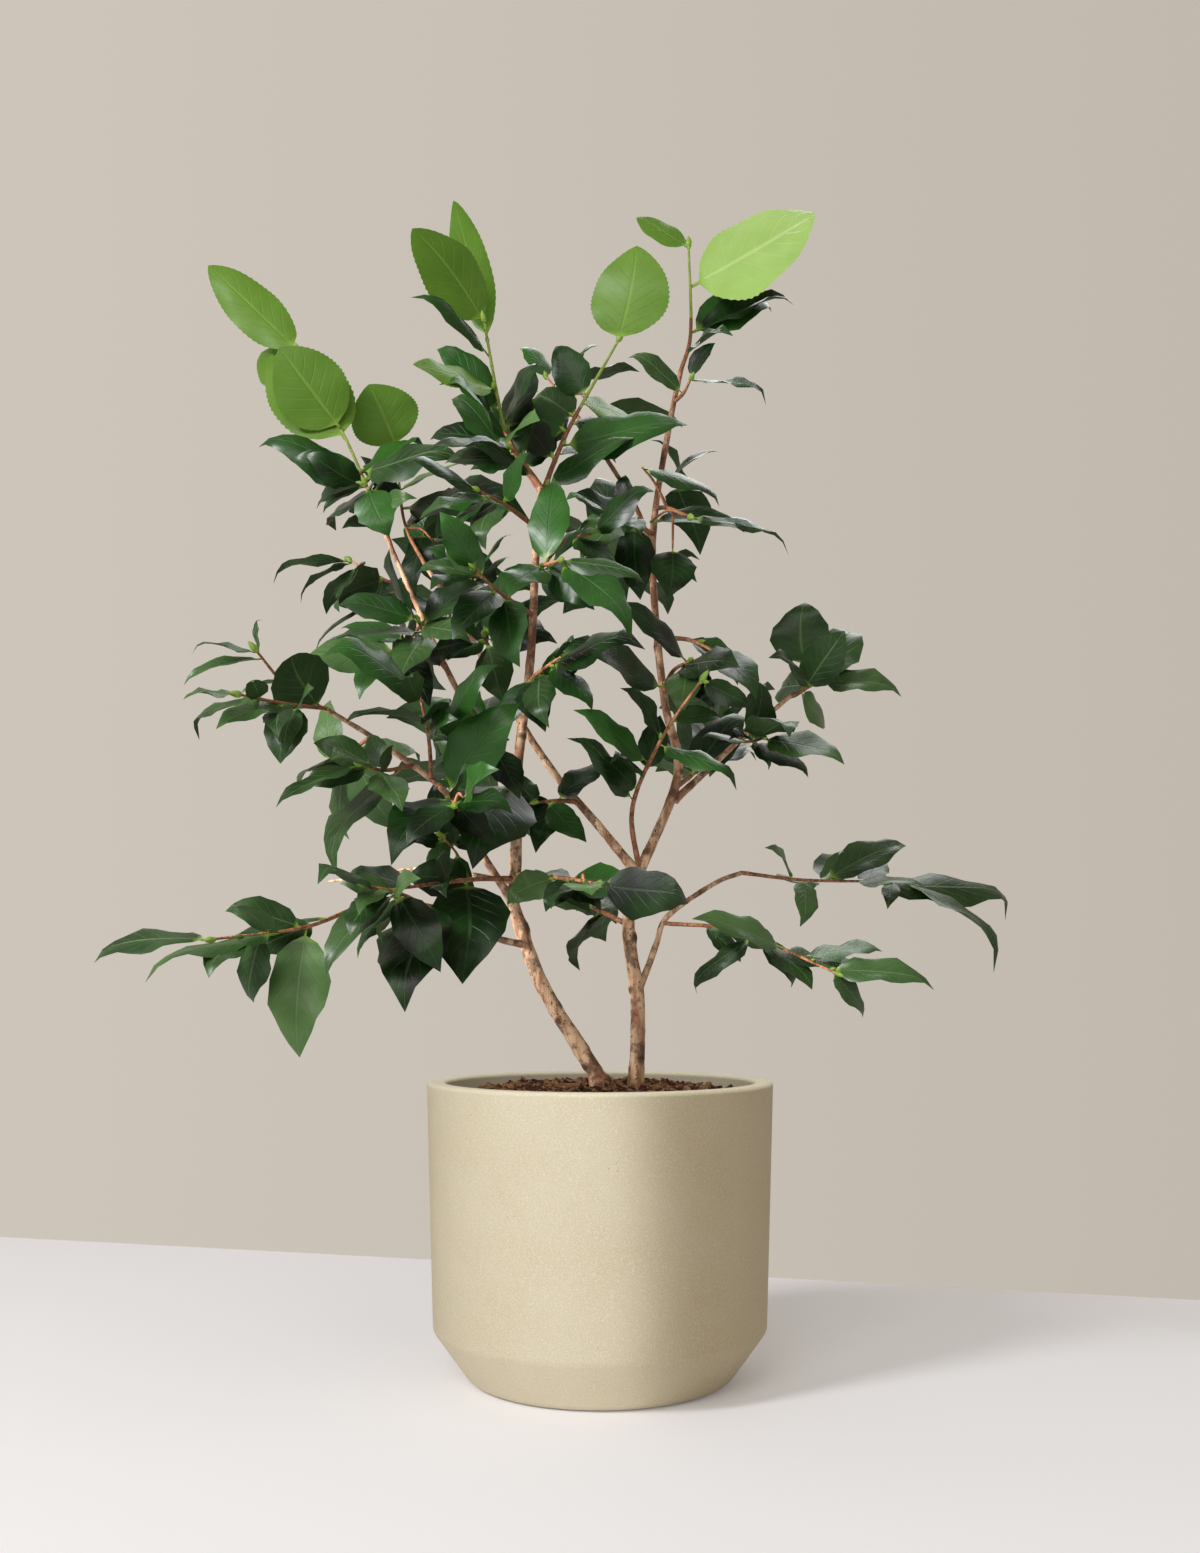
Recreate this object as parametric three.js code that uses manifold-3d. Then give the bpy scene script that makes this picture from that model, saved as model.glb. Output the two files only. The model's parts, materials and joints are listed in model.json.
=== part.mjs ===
// Potted camellia shrub: a round planter full of bark compost, two woody stems that fork into
// boughs, and leafy masses that grow on from them. Millimetres, +Z up. The origin is the middle
// of the planter's flat underside, and -Y is the front.
import * as THREE from "three";
import Module from "manifold-3d";

const wasm = await Module();
wasm.setup();

// Planter.
const potHeight = 223;
const potRimRadius = 130;
const potShoulderRadius = 125.5;
const potShoulderHeight = 39;
const potFootRadius = 98;
const potWall = 14;
const potFloor = 16;
const potEdge = 1.6;
const potFacets = 44;

// Compost: flat round the stems, lower at the wall.
const soilTop = 221.5;
const soilAtWall = 212;
const soilFlatRadius = 62;
const soilShoulder = { out: 0.6, down: 0.45 }; // where its slope steepens, as shares of its fall

// Wood.
const clearance = 0.3; // between any two neighbouring pieces
const sleeveGap = clearance * 1.5; // kept round a limb, more than the clearance for its facets
const groundLevel = soilTop + clearance;
const rootFlare = 0.8; // extra radius where a stem meets the compost
const flareHeight = 14;
const twigSides = 3;
const stemRadius = { root: 2.3, tip: 0.9 }; // of a mass's own stem
const stemToLimb = 0.8; // the most that a mass's stem may be of its limb's radius
const sideTwigRadius = { root: 1.3, tip: 0.8 };

// Leaf blade, as shares of its length.
const leafStations = [0.3, 0.68];
const leafHalfWidths = [0.245, 0.24];
const stalkRadius = 0.8; // mm, where a leaf joins its twig
const leafThickness = 2.2; // mm at the midrib
const leafArch = 0.07; // rise of the midrib, as a share of the length
const testMargin = 0.6; // mm kept round a leaf while a free place is looked for
const testStart = 0.14; // share of its length from which a leaf has to be free
const twigTestSteps = 4;
const sliver = 0.1; // mm, detail dropped from a fused mass

// How leaves are set along a twig.
const outerLeaves = { from: 0.3, to: 0.95, shortest: 0.92, longest: 1.14, roll: 0.35 };
const seededLeaves = { from: 0.35, to: 0.9, shortest: 0.85, longest: 1.1, roll: 0.5, size: 0.9 };
const twigLeaf = { at: 0.55, size: 0.8, leastTwig: 0.4 }; // the seeded leaf on a side twig
const youngRoll = 0.3; // a young outer leaf rolls this much less
const rollTries = [0, 0.4, -0.4, 0.8, -0.8, 1.2]; // radians, until an outer leaf is free
const longestReach = 1.25; // in leaf lengths, past which an outer leaf has a side twig
const twigRise = 0.08; // of a side twig's middle, as a share of its reach
const leafSpread = 0.95; // radians between a twig and its seeded leaves
const leafDroop = new THREE.Vector3(0, 0, -0.2);
const goldenAngle = 2.4; // radians between one place tried and the next
const leafTurns = 12; // places tried before a leaf is skipped

// What a blade faces: the sky, the light at the front left, and away from the plant's middle.
const sky = new THREE.Vector3(0, 0, 0.55);
const light = new THREE.Vector3(-0.25, -0.85, 0.3);
const lightDepth = 160; // the light's pull is gone this far behind the middle
const outwardPull = 0.35;
const youngPull = 2.2; // a young leaf turns its face harder to the light

// Stems and boughs. Each is one tapering limb along a smooth curve through a few places.
const limbSpecs = [
  { name: "stem_left", sides: 8, radii: [6.2, 4.9], steps: 9,
    route: [[0, -22, 214], [-3, -22, 229], [-14, -20, 247], [-33, -16, 277], [-48, -13, 306],
      [-65, -10, 355]] },
  { name: "stem_right", sides: 8, radii: [5.9, 4.3], steps: 8,
    route: [[26, -10, 213], [28, -8, 246], [28, -6, 288], [23, -4, 322], [22, -2, 348], [27, 0, 375]] },
  { name: "leader_left", sides: 6, radii: [4.7, 2.5], steps: 11,
    route: [[-65, -10, 355], [-63, -8, 397], [-63, -8, 438], [-60, -10, 475], [-52, -13, 538], [-48, -16, 612],
      [-44, -20, 665]] },
  { name: "leader_right", sides: 6, radii: [4.2, 1.9], steps: 15,
    route: [[27, 0, 375], [39, 4, 401], [56, 8, 442], [59, 8, 470], [49, 8, 512], [41, 12, 597], [42, 16, 655],
      [55, 20, 734], [62, 22, 767]] },
  { name: "bough_left", sides: 5, radii: [3.1, 1.6], steps: 7,
    route: [[-66, -10, 359], [-84, -24, 387], [-109, -42, 432], [-153, -62, 466], [-192, -84, 489]] },
  { name: "bough_upper_left", sides: 5, radii: [2.9, 1.7], steps: 8,
    route: [[-63, -8, 438], [-78, 4, 461], [-100, 18, 502], [-138, 42, 580], [-170, 56, 652]] },
  { name: "bough_cross", sides: 5, radii: [3.6, 1.8], steps: 9,
    route: [[27, 0, 381], [0, 18, 416], [-36, 38, 461], [-75, 56, 523], [-117, 82, 598], [-143, 94, 638]] },
  { name: "bough_low_left", sides: 5, radii: [2.6, 1.6], steps: 7,
    route: [[-55, -12, 325], [-77, -30, 330], [-98, -50, 341], [-120, -66, 351], [-142, -82, 352],
      [-173, -98, 347]] },
  { name: "bough_thin_left", sides: 4, radii: [1.7, 0.9], steps: 6,
    route: [[-64, -9, 372], [-102, 22, 381], [-146, 52, 387], [-221, 88, 379]] },
  { name: "bough_low_right", sides: 5, radii: [2.7, 1.7], steps: 7,
    route: [[28, -6, 290], [36, -2, 308], [43, 4, 327], [52, 12, 348], [89, 32, 374], [111, 42, 383]] },
  { name: "bough_mid_right", sides: 5, radii: [2.7, 1.6], steps: 5,
    route: [[57, 8, 436], [82, 22, 460], [119, 42, 496], [151, 56, 524]] },
  { name: "bough_top_back", sides: 5, radii: [2.1, 1.5], steps: 6,
    route: [[41, 12, 620], [29, 26, 662], [8, 42, 703], [-19, 60, 749]] },
];

// Masses of foliage. Each grows on one stem, from a limb at the share "at" of its curve through
// the stem's places. "tips" says how far its outer leaves reach, in order from the stem's root,
// "leaf" is its usual leaf length, "broad" widens its leaves, and "more" counts the leaves that
// the seeded rule adds. "own" gives some outer leaves a root of their own, at a share of the stem or
// at a place that a side twig reaches, and their own breadth.
const massSpecs = [
  { name: "foliage_low_left", limb: "bough_low_left", at: 1,
    stem: [[-197, -148, 333], [-248, -176, 325]], leaf: 59,
    tips: [[-197, -150, 248], [-268, -118, 307], [-227, -150, 284], [-279, -215, 297],
      [-332, -150, 310]], more: 2,
    own: { 0: { root: 0.45, broad: 0.95 }, 1: { root: 0.15, broad: 0.5 }, 2: { root: 0.74, broad: 1.2 },
      3: { root: 0.64, broad: 0.5 }, 4: { root: 1, broad: 0.65 } } },
  { name: "foliage_low_left_inner", limb: "bough_low_left", at: 0.64,
    stem: [[-132, -146, 356], [-151, -166, 360]], leaf: 53,
    tips: [[-126, -165, 278], [-104, -155, 304], [-174, -180, 302], [-159, -150, 313],
      [-172, -221, 357]], more: 2,
    own: { 0: { root: 0.12, broad: 1 }, 2: { root: 0.55, broad: 0.75 },
      3: { root: 0.45, broad: 0.6 } } },
  { name: "foliage_low_centre_left", limb: "leader_left", at: 0.08,
    stem: [[-97, -52, 371], [-147, -110, 360]], leaf: 57, broad: 1.25,
    tips: [[-95, -98, 296], [-106, -91, 388], [-130, -83, 324], [-167, -131, 363]], more: 2,
    own: { 0: { root: 0.5, broad: 1.3 } } },
  { name: "foliage_centre_left", limb: "bough_left", at: 0.55,
    stem: [[-102, -104, 423], [-96, -146, 414]], leaf: 53,
    tips: [[-55, -95, 491], [-115, -138, 399], [-137, -150, 374], [-63, -193, 431]], more: 1,
    own: { 0: { root: 0.3, broad: 0.95 }, 2: { root: 0.4, broad: 0.9 } } },
  { name: "foliage_left_middle", limb: "bough_left", at: 0.65,
    stem: [[-148, -104, 443], [-161, -125, 444]], leaf: 58,
    tips: [[-160, -83, 471], [-114, -127, 410], [-178, -120, 369], [-174, -166, 441],
      [-215, -140, 413]], more: 2,
    own: { 2: { root: 0.2, broad: 0.8 }, 4: { root: 1, broad: 0.62 } } },
  { name: "foliage_left", limb: "bough_left", at: 1,
    stem: [[-209, -127, 484], [-235, -156, 485]], leaf: 47,
    tips: [[-169, -138, 437], [-216, -120, 445], [-204, -140, 514], [-247, -170, 460],
      [-276, -100, 464], [-262, -192, 475]], more: 1,
    own: { 1: { root: 0.35, broad: 1.5 }, 2: { root: 0.06, broad: 1.5 }, 3: { root: 0.55, broad: 0.8 },
      4: { root: 0.8, broad: 0.5 }, 5: { root: 1, broad: 0.62 } } },
  { name: "foliage_left_tip", limb: "bough_left", at: 0.97,
    stem: [[-218, -78, 503], [-239, -94, 528]], leaf: 44,
    tips: [[-237, -80, 552], [-279, -110, 521], [-287, -100, 502]], more: 1,
    own: { 0: { root: 0.95, broad: 0.4 }, 1: { root: 0.97, broad: 0.45 },
      2: { root: 0.9, broad: 0.42 } } },
  { name: "foliage_left_shoot", limb: "bough_left", at: 0.58,
    stem: [[-120, -86, 470], [-126, -99, 503]], leaf: 59,
    tips: [[-69, -116, 513], [-168, -144, 469], [-133, -127, 465], [-185, -135, 515]], more: 1 },
  { name: "foliage_upper_left_low", limb: "bough_upper_left", at: 0.84,
    stem: [[-174, 81, 623], [-206, 104, 645]], leaf: 61,
    tips: [[-123, 34, 544], [-202, 30, 584], [-229, 70, 561], [-198, 62, 597], [-250, 120, 613],
      [-269, 100, 624]], more: 2,
    own: { 2: { root: 0.1, broad: 0.85 }, 3: { root: 0.9, broad: 1.2 }, 4: { root: 0.97, broad: 0.45 },
      5: { root: 1, broad: 0.62 } } },
  { name: "foliage_upper_left", limb: "bough_upper_left", at: 1,
    stem: [[-190, 86, 701], [-214, 104, 754], [-254, 125, 829]], leaf: 87, young: true, broad: 1.1,
    tips: [[-106, 60, 708], [-281, 100, 737], [-225, 85, 678], [-262, 92, 816], [-278, 140, 834],
      [-293, 166, 843], [-335, 149, 910]], more: 0,
    own: { 0: { root: 0.42, broad: 0.8 }, 1: { root: 0.36, broad: 0.62 }, 2: { root: 0.33, broad: 0.7 },
      3: { root: 0.66, broad: 1.5 }, 4: { root: 0.6, broad: 1.1 }, 6: { root: 0.98, broad: 0.68 } } },
  { name: "foliage_inner_left", limb: "bough_cross", at: 1,
    stem: [[-165, 130, 686], [-173, 138, 752]], leaf: 69, young: true,
    tips: [[-83, 110, 621], [-105, 97, 675], [-57, 84, 672], [-199, 112, 734], [-193, 118, 796]],
      more: 1,
    own: { 2: { root: 0.6, broad: 0.75 }, 3: { root: 0.62, broad: 0.75 },
      4: { root: 0.98, broad: 2.2 } } },
  { name: "foliage_top_left", limb: "leader_left", at: 1,
    stem: [[-69, -30, 702], [-83, -62, 770]], leaf: 71, young: true,
    tips: [[-99, -50, 684], [-42, -83, 691], [-114, -75, 719], [-36, -60, 737], [-120, -30, 763],
      [-132, -90, 774], [-110, -8, 884], [-131, -88, 823]], more: 2,
    own: { 0: { root: 0.1, broad: 0.65 }, 2: { root: 0.45, broad: 1 }, 3: { root: 0.55, broad: 0.9 },
      4: { root: 0.6, broad: 0.75 }, 5: { root: 0.85, broad: 0.5 }, 6: { root: 0.9, broad: 0.4 },
      7: { root: 0.98, broad: 1.35 } } },
  { name: "foliage_top_middle", limb: "leader_left", at: 0.97,
    stem: [[-24, -4, 713], [14, 6, 785]], leaf: 60, young: true, broad: 1.4,
    tips: [[21, -30, 678], [-72, 6, 732], [-50, 24, 745], [26, -30, 698], [-34, 10, 782], [28, 0, 854],
      [66, -14, 713]], more: 1,
    own: { 3: { root: 0.1, broad: 0.7 }, 4: { root: 0.7, broad: 1.2 }, 5: { root: 0.98, broad: 1.72 },
      6: { root: 0.4, broad: 0.95 } } },
  { name: "foliage_top_back", limb: "bough_top_back", at: 1,
    stem: [[-31, 88, 773], [-44, 99, 795]], leaf: 69,
    tips: [[68, 97, 752], [33, 110, 803], [0, 60, 804], [-67, 116, 824]], more: 0 },
  { name: "foliage_top_right", limb: "leader_right", at: 1,
    stem: [[70, 25, 799], [69, 34, 870]], leaf: 93, young: true,
    tips: [[152, 40, 827], [163, 0, 878], [99, -20, 777], [29, 56, 904]], more: 0,
    own: { 0: { root: 0.5, broad: 0.5 }, 1: { root: 0.78, broad: 1.8 },
      2: { root: 0.3, broad: 0.75 }, 3: { root: 0.99, broad: 0.75 } } },
  { name: "foliage_right_upper", limb: "leader_right", at: 0.76,
    stem: [[51, -18, 650], [64, -62, 630]], leaf: 68,
    tips: [[88, -30, 647], [50, -40, 577], [135, -60, 603], [110, 4, 638]], more: 0,
    own: { 0: { root: [31, -34, 675], broad: 0.85 }, 1: { root: [54, -18, 620], broad: 1.4 },
      2: { root: 1, broad: 0.5 }, 3: { root: [38, -4, 644], broad: 0.75 } } },
  { name: "foliage_right_back", limb: "leader_right", at: 0.8,
    stem: [[57, 50, 694], [74, 104, 695]], leaf: 68,
    tips: [[93, 50, 716], [84, 124, 655], [22, 60, 665], [41, 97, 742]], more: 0 },
  { name: "foliage_centre_upper", limb: "leader_left", at: 0.81,
    stem: [[-41, -65, 594], [-27, -112, 585]], leaf: 56,
    tips: [[-31, -50, 660], [39, -83, 641], [-62, -110, 560], [30, -120, 567], [21, -140, 524],
      [-25, -179, 546]], more: 1,
    own: { 0: { root: 0.6, broad: 0.85 }, 2: { root: 0.55, broad: 1.2 }, 3: { root: 1, broad: 0.62 },
      4: { root: 0.95, broad: 0.72 } } },
  { name: "foliage_centre", limb: "leader_left", at: 0.61,
    stem: [[-47, -57, 517], [-26, -94, 524]], leaf: 58,
    tips: [[-72, -55, 475], [-35, -97, 473], [31, -116, 523], [-17, -124, 528]], more: 2 },
  { name: "foliage_front", limb: "leader_right", at: 0.03,
    stem: [[24, -24, 426], [44, -65, 471], [71, -83, 509]], leaf: 57,
    tips: [[-24, -60, 472], [96, -80, 432], [-19, -84, 488], [14, -80, 504], [105, -84, 489]], more: 1,
    own: { 0: { root: 0.37, broad: 0.6 }, 1: { root: 0.64, broad: 0.6 }, 2: { root: 0.55, broad: 0.6 },
      3: { root: 0.66, broad: 0.8 }, 4: { root: 1, broad: 1 } } },
  { name: "foliage_centre_right", limb: "leader_right", at: 0.51,
    stem: [[54, -14, 529], [65, -44, 531]], leaf: 64,
    tips: [[-32, -30, 541], [98, -83, 518], [9, -70, 566]], more: 1,
    own: { 0: { root: 0.1, broad: 0.75 }, 2: { root: 0.95, broad: 0.65 } } },
  { name: "foliage_under_cross", limb: "bough_cross", at: 0.3,
    stem: [[-32, 12, 436], [-49, 0, 433]], leaf: 49,
    tips: [[10, 40, 465], [-10, -10, 402], [-66, 30, 454]], more: 1 },
  { name: "foliage_right", limb: "bough_mid_right", at: 1,
    stem: [[161, 58, 529], [180, 81, 542]], leaf: 68, young: true, broad: 1.2,
    tips: [[182, 88, 504], [128, 8, 544], [167, 86, 606], [213, 116, 586], [240, 60, 524]], more: 2,
    own: { 1: { root: 0.5, broad: 0.9 }, 2: { root: [167, 80, 551], broad: 1.75 },
      4: { root: 0.95, broad: 0.85 } } },
  { name: "foliage_right_middle", limb: "bough_mid_right", at: 0.57,
    stem: [[112, 0, 479], [121, -30, 477]], leaf: 60,
    tips: [[77, 0, 482], [126, -10, 456], [132, -88, 468], [175, -61, 453]], more: 2 },
  { name: "foliage_low_right", limb: "bough_low_right", at: 1,
    stem: [[164, 54, 378], [246, 86, 379]], leaf: 73,
    tips: [[127, 24, 401], [155, 30, 340], [191, 36, 399], [252, 100, 409], [228, 56, 355],
      [304, 25, 304], [340, 125, 349]], more: 1,
    own: { 3: { root: 0.6, broad: 0.7 }, 4: { root: 0.95, broad: 0.8 }, 5: { root: 1, broad: 0.5 },
      6: { root: 0.84, broad: 0.55 } } },
  { name: "foliage_low_right_front", limb: "bough_low_right", at: 0.55,
    stem: [[100, -52, 334], [163, -109, 303]], leaf: 60,
    tips: [[131, -10, 326], [71, -40, 288], [148, -88, 292], [181, -100, 273], [226, -120, 292],
      [63, -100, 341]], more: 1,
    own: { 1: { root: 0.58, broad: 0.6 }, 3: { root: 0.97, broad: 1.2 }, 4: { root: 0.95, broad: 0.62 },
      5: { root: 0.74, broad: 0.8 } } },
  { name: "foliage_front_low", limb: "leader_left", at: 0.09,
    stem: [[-28, -91, 370], [-1, -153, 362]], leaf: 52, broad: 1.3,
    tips: [[-65, -83, 352], [-37, -116, 345], [-5, -193, 352], [58, -150, 349]], more: 1,
    own: { 3: { root: 1, broad: 2 } } },
  { name: "foliage_upper_left_middle", limb: "bough_upper_left", at: 0.75,
    stem: [[-146, 10, 558], [-155, -16, 541]], leaf: 62,
    tips: [[-115, -10, 516], [-198, 10, 567], [-177, -30, 505], [-225, -10, 533], [-164, -55, 468]],
      more: 1 },
  { name: "foliage_cross_upper", limb: "bough_cross", at: 0.76,
    stem: [[-104, 50, 599], [-94, 26, 614]], leaf: 62,
    tips: [[-41, 40, 565], [-131, 20, 591], [-49, 10, 595], [-135, 30, 634], [-65, 16, 640]], more: 1 },
  { name: "foliage_left_of_leader", limb: "leader_left", at: 0.74,
    stem: [[-72, -57, 577], [-89, -78, 589]], leaf: 58,
    tips: [[-56, -83, 518], [-102, -97, 534], [-55, -97, 586], [-116, -110, 565], [-111, -97, 623]],
      more: 1 },
  { name: "foliage_low_of_leader", limb: "leader_left", at: 0.34,
    stem: [[-78, -57, 470], [-96, -86, 464]], leaf: 55,
    tips: [[-57, -69, 427], [-84, -83, 502], [-105, -97, 420], [-135, -124, 447], [-126, -116, 489],
      [-90, -75, 377]], more: 1,
    own: { 5: { root: 0.1, broad: 1.4 } } },
  { name: "foliage_upper_of_leader", limb: "leader_left", at: 0.9,
    stem: [[-67, -44, 643], [-87, -62, 649]], leaf: 59,
    tips: [[-34, -69, 597], [-50, -69, 674], [-80, -83, 600], [-128, -69, 626], [-137, -77, 664]],
      more: 1 },
  { name: "foliage_between_leaders", limb: "leader_right", at: 0.72,
    stem: [[24, -16, 640], [4, -52, 634]], leaf: 58,
    tips: [[30, -20, 581], [19, -20, 674], [-14, -69, 597], [-24, -83, 635]], more: 1 },
  { name: "foliage_right_of_leader", limb: "leader_right", at: 0.57,
    stem: [[66, -10, 554], [86, -26, 541]], leaf: 59,
    tips: [[104, 0, 539], [111, -69, 498]], more: 0 },
  { name: "foliage_low_between", limb: "bough_thin_left", at: 0.33,
    stem: [[-110, 0, 397], [-119, -20, 407]], leaf: 54,
    tips: [[-98, 0, 348], [-76, 10, 406], [-152, -20, 401], [-118, -30, 358]], more: 1 },
  { name: "foliage_top_inner", limb: "leader_left", at: 0.99,
    stem: [[-60, 0, 688], [-85, 20, 714]], leaf: 62,
    tips: [[-31, 20, 714], [-100, 20, 691], [-62, 30, 753], [-116, 30, 749], [-132, 30, 718]],
      more: 1 },
  { name: "foliage_left_hanging", limb: "bough_left", at: 0.81,
    stem: [[-179, -57, 463], [-199, -30, 457]], leaf: 59,
    tips: [[-144, -55, 407], [-135, -10, 460], [-184, -30, 402], [-213, -69, 434], [-200, -20, 507]],
      more: 1 },
  { name: "foliage_back_low", limb: "stem_right", at: 0.74,
    stem: [[-5, 30, 355], [-33, 104, 371]], leaf: 72,
    tips: [[36, 60, 359], [-51, 152, 385], [11, 179, 413], [-85, 207, 396]], more: 1 },
  { name: "foliage_back_left", limb: "leader_left", at: 0.21,
    stem: [[-90, 91, 454], [-115, 195, 507]], leaf: 82,
    tips: [[-137, 152, 453], [-78, 166, 507], [-190, 193, 458], [-158, 262, 559], [-94, 276, 557]],
      more: 4 },
  { name: "foliage_back_right", limb: "leader_right", at: 0.26,
    stem: [[83, 117, 478], [104, 221, 534]], leaf: 84,
    tips: [[89, 207, 518], [126, 166, 503], [37, 262, 578], [163, 262, 569], [85, 290, 622]], more: 2 },
  { name: "foliage_back_upper", limb: "leader_right", at: 0.64,
    stem: [[25, 117, 641], [0, 208, 692]], leaf: 82,
    tips: [[83, 110, 647], [-35, 166, 637], [36, 207, 710], [-51, 248, 704], [0, 262, 759]], more: 3 },
  { name: "foliage_back_top_left", limb: "bough_upper_left", at: 0.67,
    stem: [[-126, 130, 611], [-143, 208, 666]], leaf: 79,
    tips: [[-86, 152, 607], [-183, 207, 647], [-109, 235, 691], [-167, 262, 722]], more: 3 },
  { name: "foliage_under_top_right", limb: "leader_right", at: 0.9,
    stem: [[63, 2, 743], [68, -8, 750]], leaf: 50,
    tips: [[124, -14, 728], [21, 2, 770], [87, -6, 778]], more: 0,
    own: { 0: { root: 1, broad: 0.6 }, 1: { root: 0.5, broad: 0.8 }, 2: { root: 1, broad: 1 } } },
  { name: "foliage_upper_left_side", limb: "bough_upper_left", at: 0.94,
    stem: [[-172, 36, 664], [-181, 24, 682]], leaf: 58,
    tips: [[-162, 20, 640], [-218, 20, 661], [-197, 10, 643], [-140, 16, 668]], more: 0,
    own: { 0: { root: 0.95, broad: 1.5 }, 1: { root: 1, broad: 0.9 }, 2: { root: 0.3, broad: 0.8 },
      3: { root: 0.6, broad: 0.8 } } },
  { name: "foliage_upper_left_front", limb: "bough_upper_left", at: 0.62,
    stem: [[-128, -14, 548], [-132, -44, 560]], leaf: 66,
    tips: [[-204, -50, 537], [-191, -40, 572], [-92, -60, 540], [-150, -66, 606], [-82, -40, 586]],
      more: 1,
    own: { 0: { root: 0.8, broad: 1.1 }, 1: { root: 1, broad: 0.9 }, 2: { root: 0.9, broad: 1 } } },
  { name: "foliage_cross_middle", limb: "bough_cross", at: 0.63,
    stem: [[-84, 22, 550], [-88, 2, 560]], leaf: 58,
    tips: [[-32, 0, 553], [-30, 10, 588], [-72, -10, 506], [-116, 0, 540], [-62, -4, 612]], more: 1,
    own: { 0: { root: 0.9, broad: 0.9 }, 1: { root: 1, broad: 0.9 }, 2: { root: 0.8, broad: 1.1 } } },
];

const potLook = { color: 0xcdbf9f, roughness: 0.85, metalness: 0 };
const soilLook = { color: 0x4a382a, roughness: 1, metalness: 0 };
const barkLook = { color: 0x9a7a5c, roughness: 0.9, metalness: 0 };
const oldLeafLook = { color: 0x2f5132, roughness: 0.45, metalness: 0 };
const youngLeafLook = { color: 0x6f9c40, roughness: 0.5, metalness: 0 };

const vector = (place) => new THREE.Vector3(...place);
const mix = THREE.MathUtils.lerp;

// mulberry32: the same numbers in [0, 1) for the same seed.
function seededNumbers(seed) {
  let state = seed >>> 0;
  return () => {
    state = (state + 0x6d2b79f5) >>> 0;
    let t = Math.imul(state ^ (state >>> 15), state | 1);
    t = (t + Math.imul(t ^ (t >>> 7), t | 61)) ^ t;
    return ((t ^ (t >>> 14)) >>> 0) / 4294967296;
  };
}

function smoothCurve(places) {
  return new THREE.CatmullRomCurve3(places, false, "catmullrom", 0.5);
}

// The part of "v" square to the unit vector "along", made unit length.
function squareTo(v, along) {
  return v.clone().addScaledVector(along, -v.dot(along)).normalize();
}

// A closed solid from equal rings, each anticlockwise seen from the end. The first ring is a flat
// cap, and the last one closes to the point "end", or to a flat cap with none.
function loft(rings, end) {
  const count = rings[0].length;
  const points = [...rings.flat(), ...(end ? [end] : [])];
  const top = (rings.length - 1) * count;
  const faces = [];
  for (let i = 0; i < count; i++) {
    const j = (i + 1) % count;
    for (let low = 0; low < top; low += count) {
      const high = low + count;
      faces.push(low + i, low + j, high + j, low + i, high + j, high + i);
    }
    if (end) faces.push(points.length - 1, top + i, top + j);
    if (i > 0 && j > 0) {
      faces.push(0, j, i);
      if (!end) faces.push(top, top + i, top + j);
    }
  }
  const body = new wasm.Mesh({
    numProp: 3,
    vertProperties: new Float32Array(points.flatMap((p) => p.toArray())),
    triVerts: new Uint32Array(faces),
  });
  return new wasm.Manifold(body);
}

// A tapering tube along a curve: radiusAt gives its radius at each share of the curve.
function taperedTube(curve, radiusAt, sides, steps) {
  let across = new THREE.Vector3(0.31, 0.95, 0.05);
  const rings = [];
  for (let step = 0; step <= steps; step++) {
    const share = step / steps;
    const along = curve.getTangent(share).normalize();
    const middle = curve.getPoint(share);
    across = squareTo(across, along);
    const third = along.clone().cross(across);
    const radius = radiusAt(share);
    rings.push([...Array(sides).keys()].map((side) => {
      const angle = (2 * Math.PI * side) / sides;
      return middle.clone()
        .addScaledVector(across, radius * Math.cos(angle))
        .addScaledVector(third, radius * Math.sin(angle));
    }));
  }
  return loft(rings);
}

// The three-cornered section of a leaf or its twig: two edges and the keel below them.
function section(middle, along, facing, width, keel) {
  const up = squareTo(facing, along);
  const side = up.clone().cross(along);
  return [
    middle.clone().addScaledVector(side, width),
    middle.clone().addScaledVector(side, -width),
    middle.clone().addScaledVector(up, -keel),
  ];
}

// One leaf from its root to its tip: an arched blade, flat above and keeled below its midrib, with
// its upper face towards "facing". It grows from a stalk, or from the end of its own side twig.
function leafBody(root, tip, facing, broad, extra = 0, twig = null) {
  const length = root.distanceTo(tip);
  const along = tip.clone().sub(root).normalize();
  const up = squareTo(facing, along);
  const blade = leafStations.map((share, index) => {
    const width = leafHalfWidths[index] * broad * length + extra;
    const middle = root.clone().lerp(tip, share)
      .addScaledVector(up, leafArch * length * 4 * share * (1 - share) + extra);
    return section(middle, along, up, width, leafThickness + 2 * extra);
  });
  const stalk = section(root, along, up, stalkRadius + extra, stalkRadius + extra);
  const stem = twig
    ? [0, 0.5, 1].map((share) => {
      const radius = mix(sideTwigRadius.root, sideTwigRadius.tip, share);
      return section(twig.getPoint(share), twig.getTangent(share), up, radius, radius);
    })
    : [stalk];
  return loft([...stem, ...blade], tip);
}

// Solids that already hold a place. Leaves look here for a free one.
const placed = [];

function hold(solid, owner) {
  const { min, max } = solid.boundingBox();
  placed.push({ solid, owner, box: new THREE.Box3(vector(min), vector(max)) });
}

function isFree(solid, owner) {
  const { min, max } = solid.boundingBox();
  const box = new THREE.Box3(vector(min), vector(max));
  return !placed.some((other) =>
    other.owner !== owner && other.box.intersectsBox(box) && !other.solid.intersect(solid).isEmpty());
}

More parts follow.
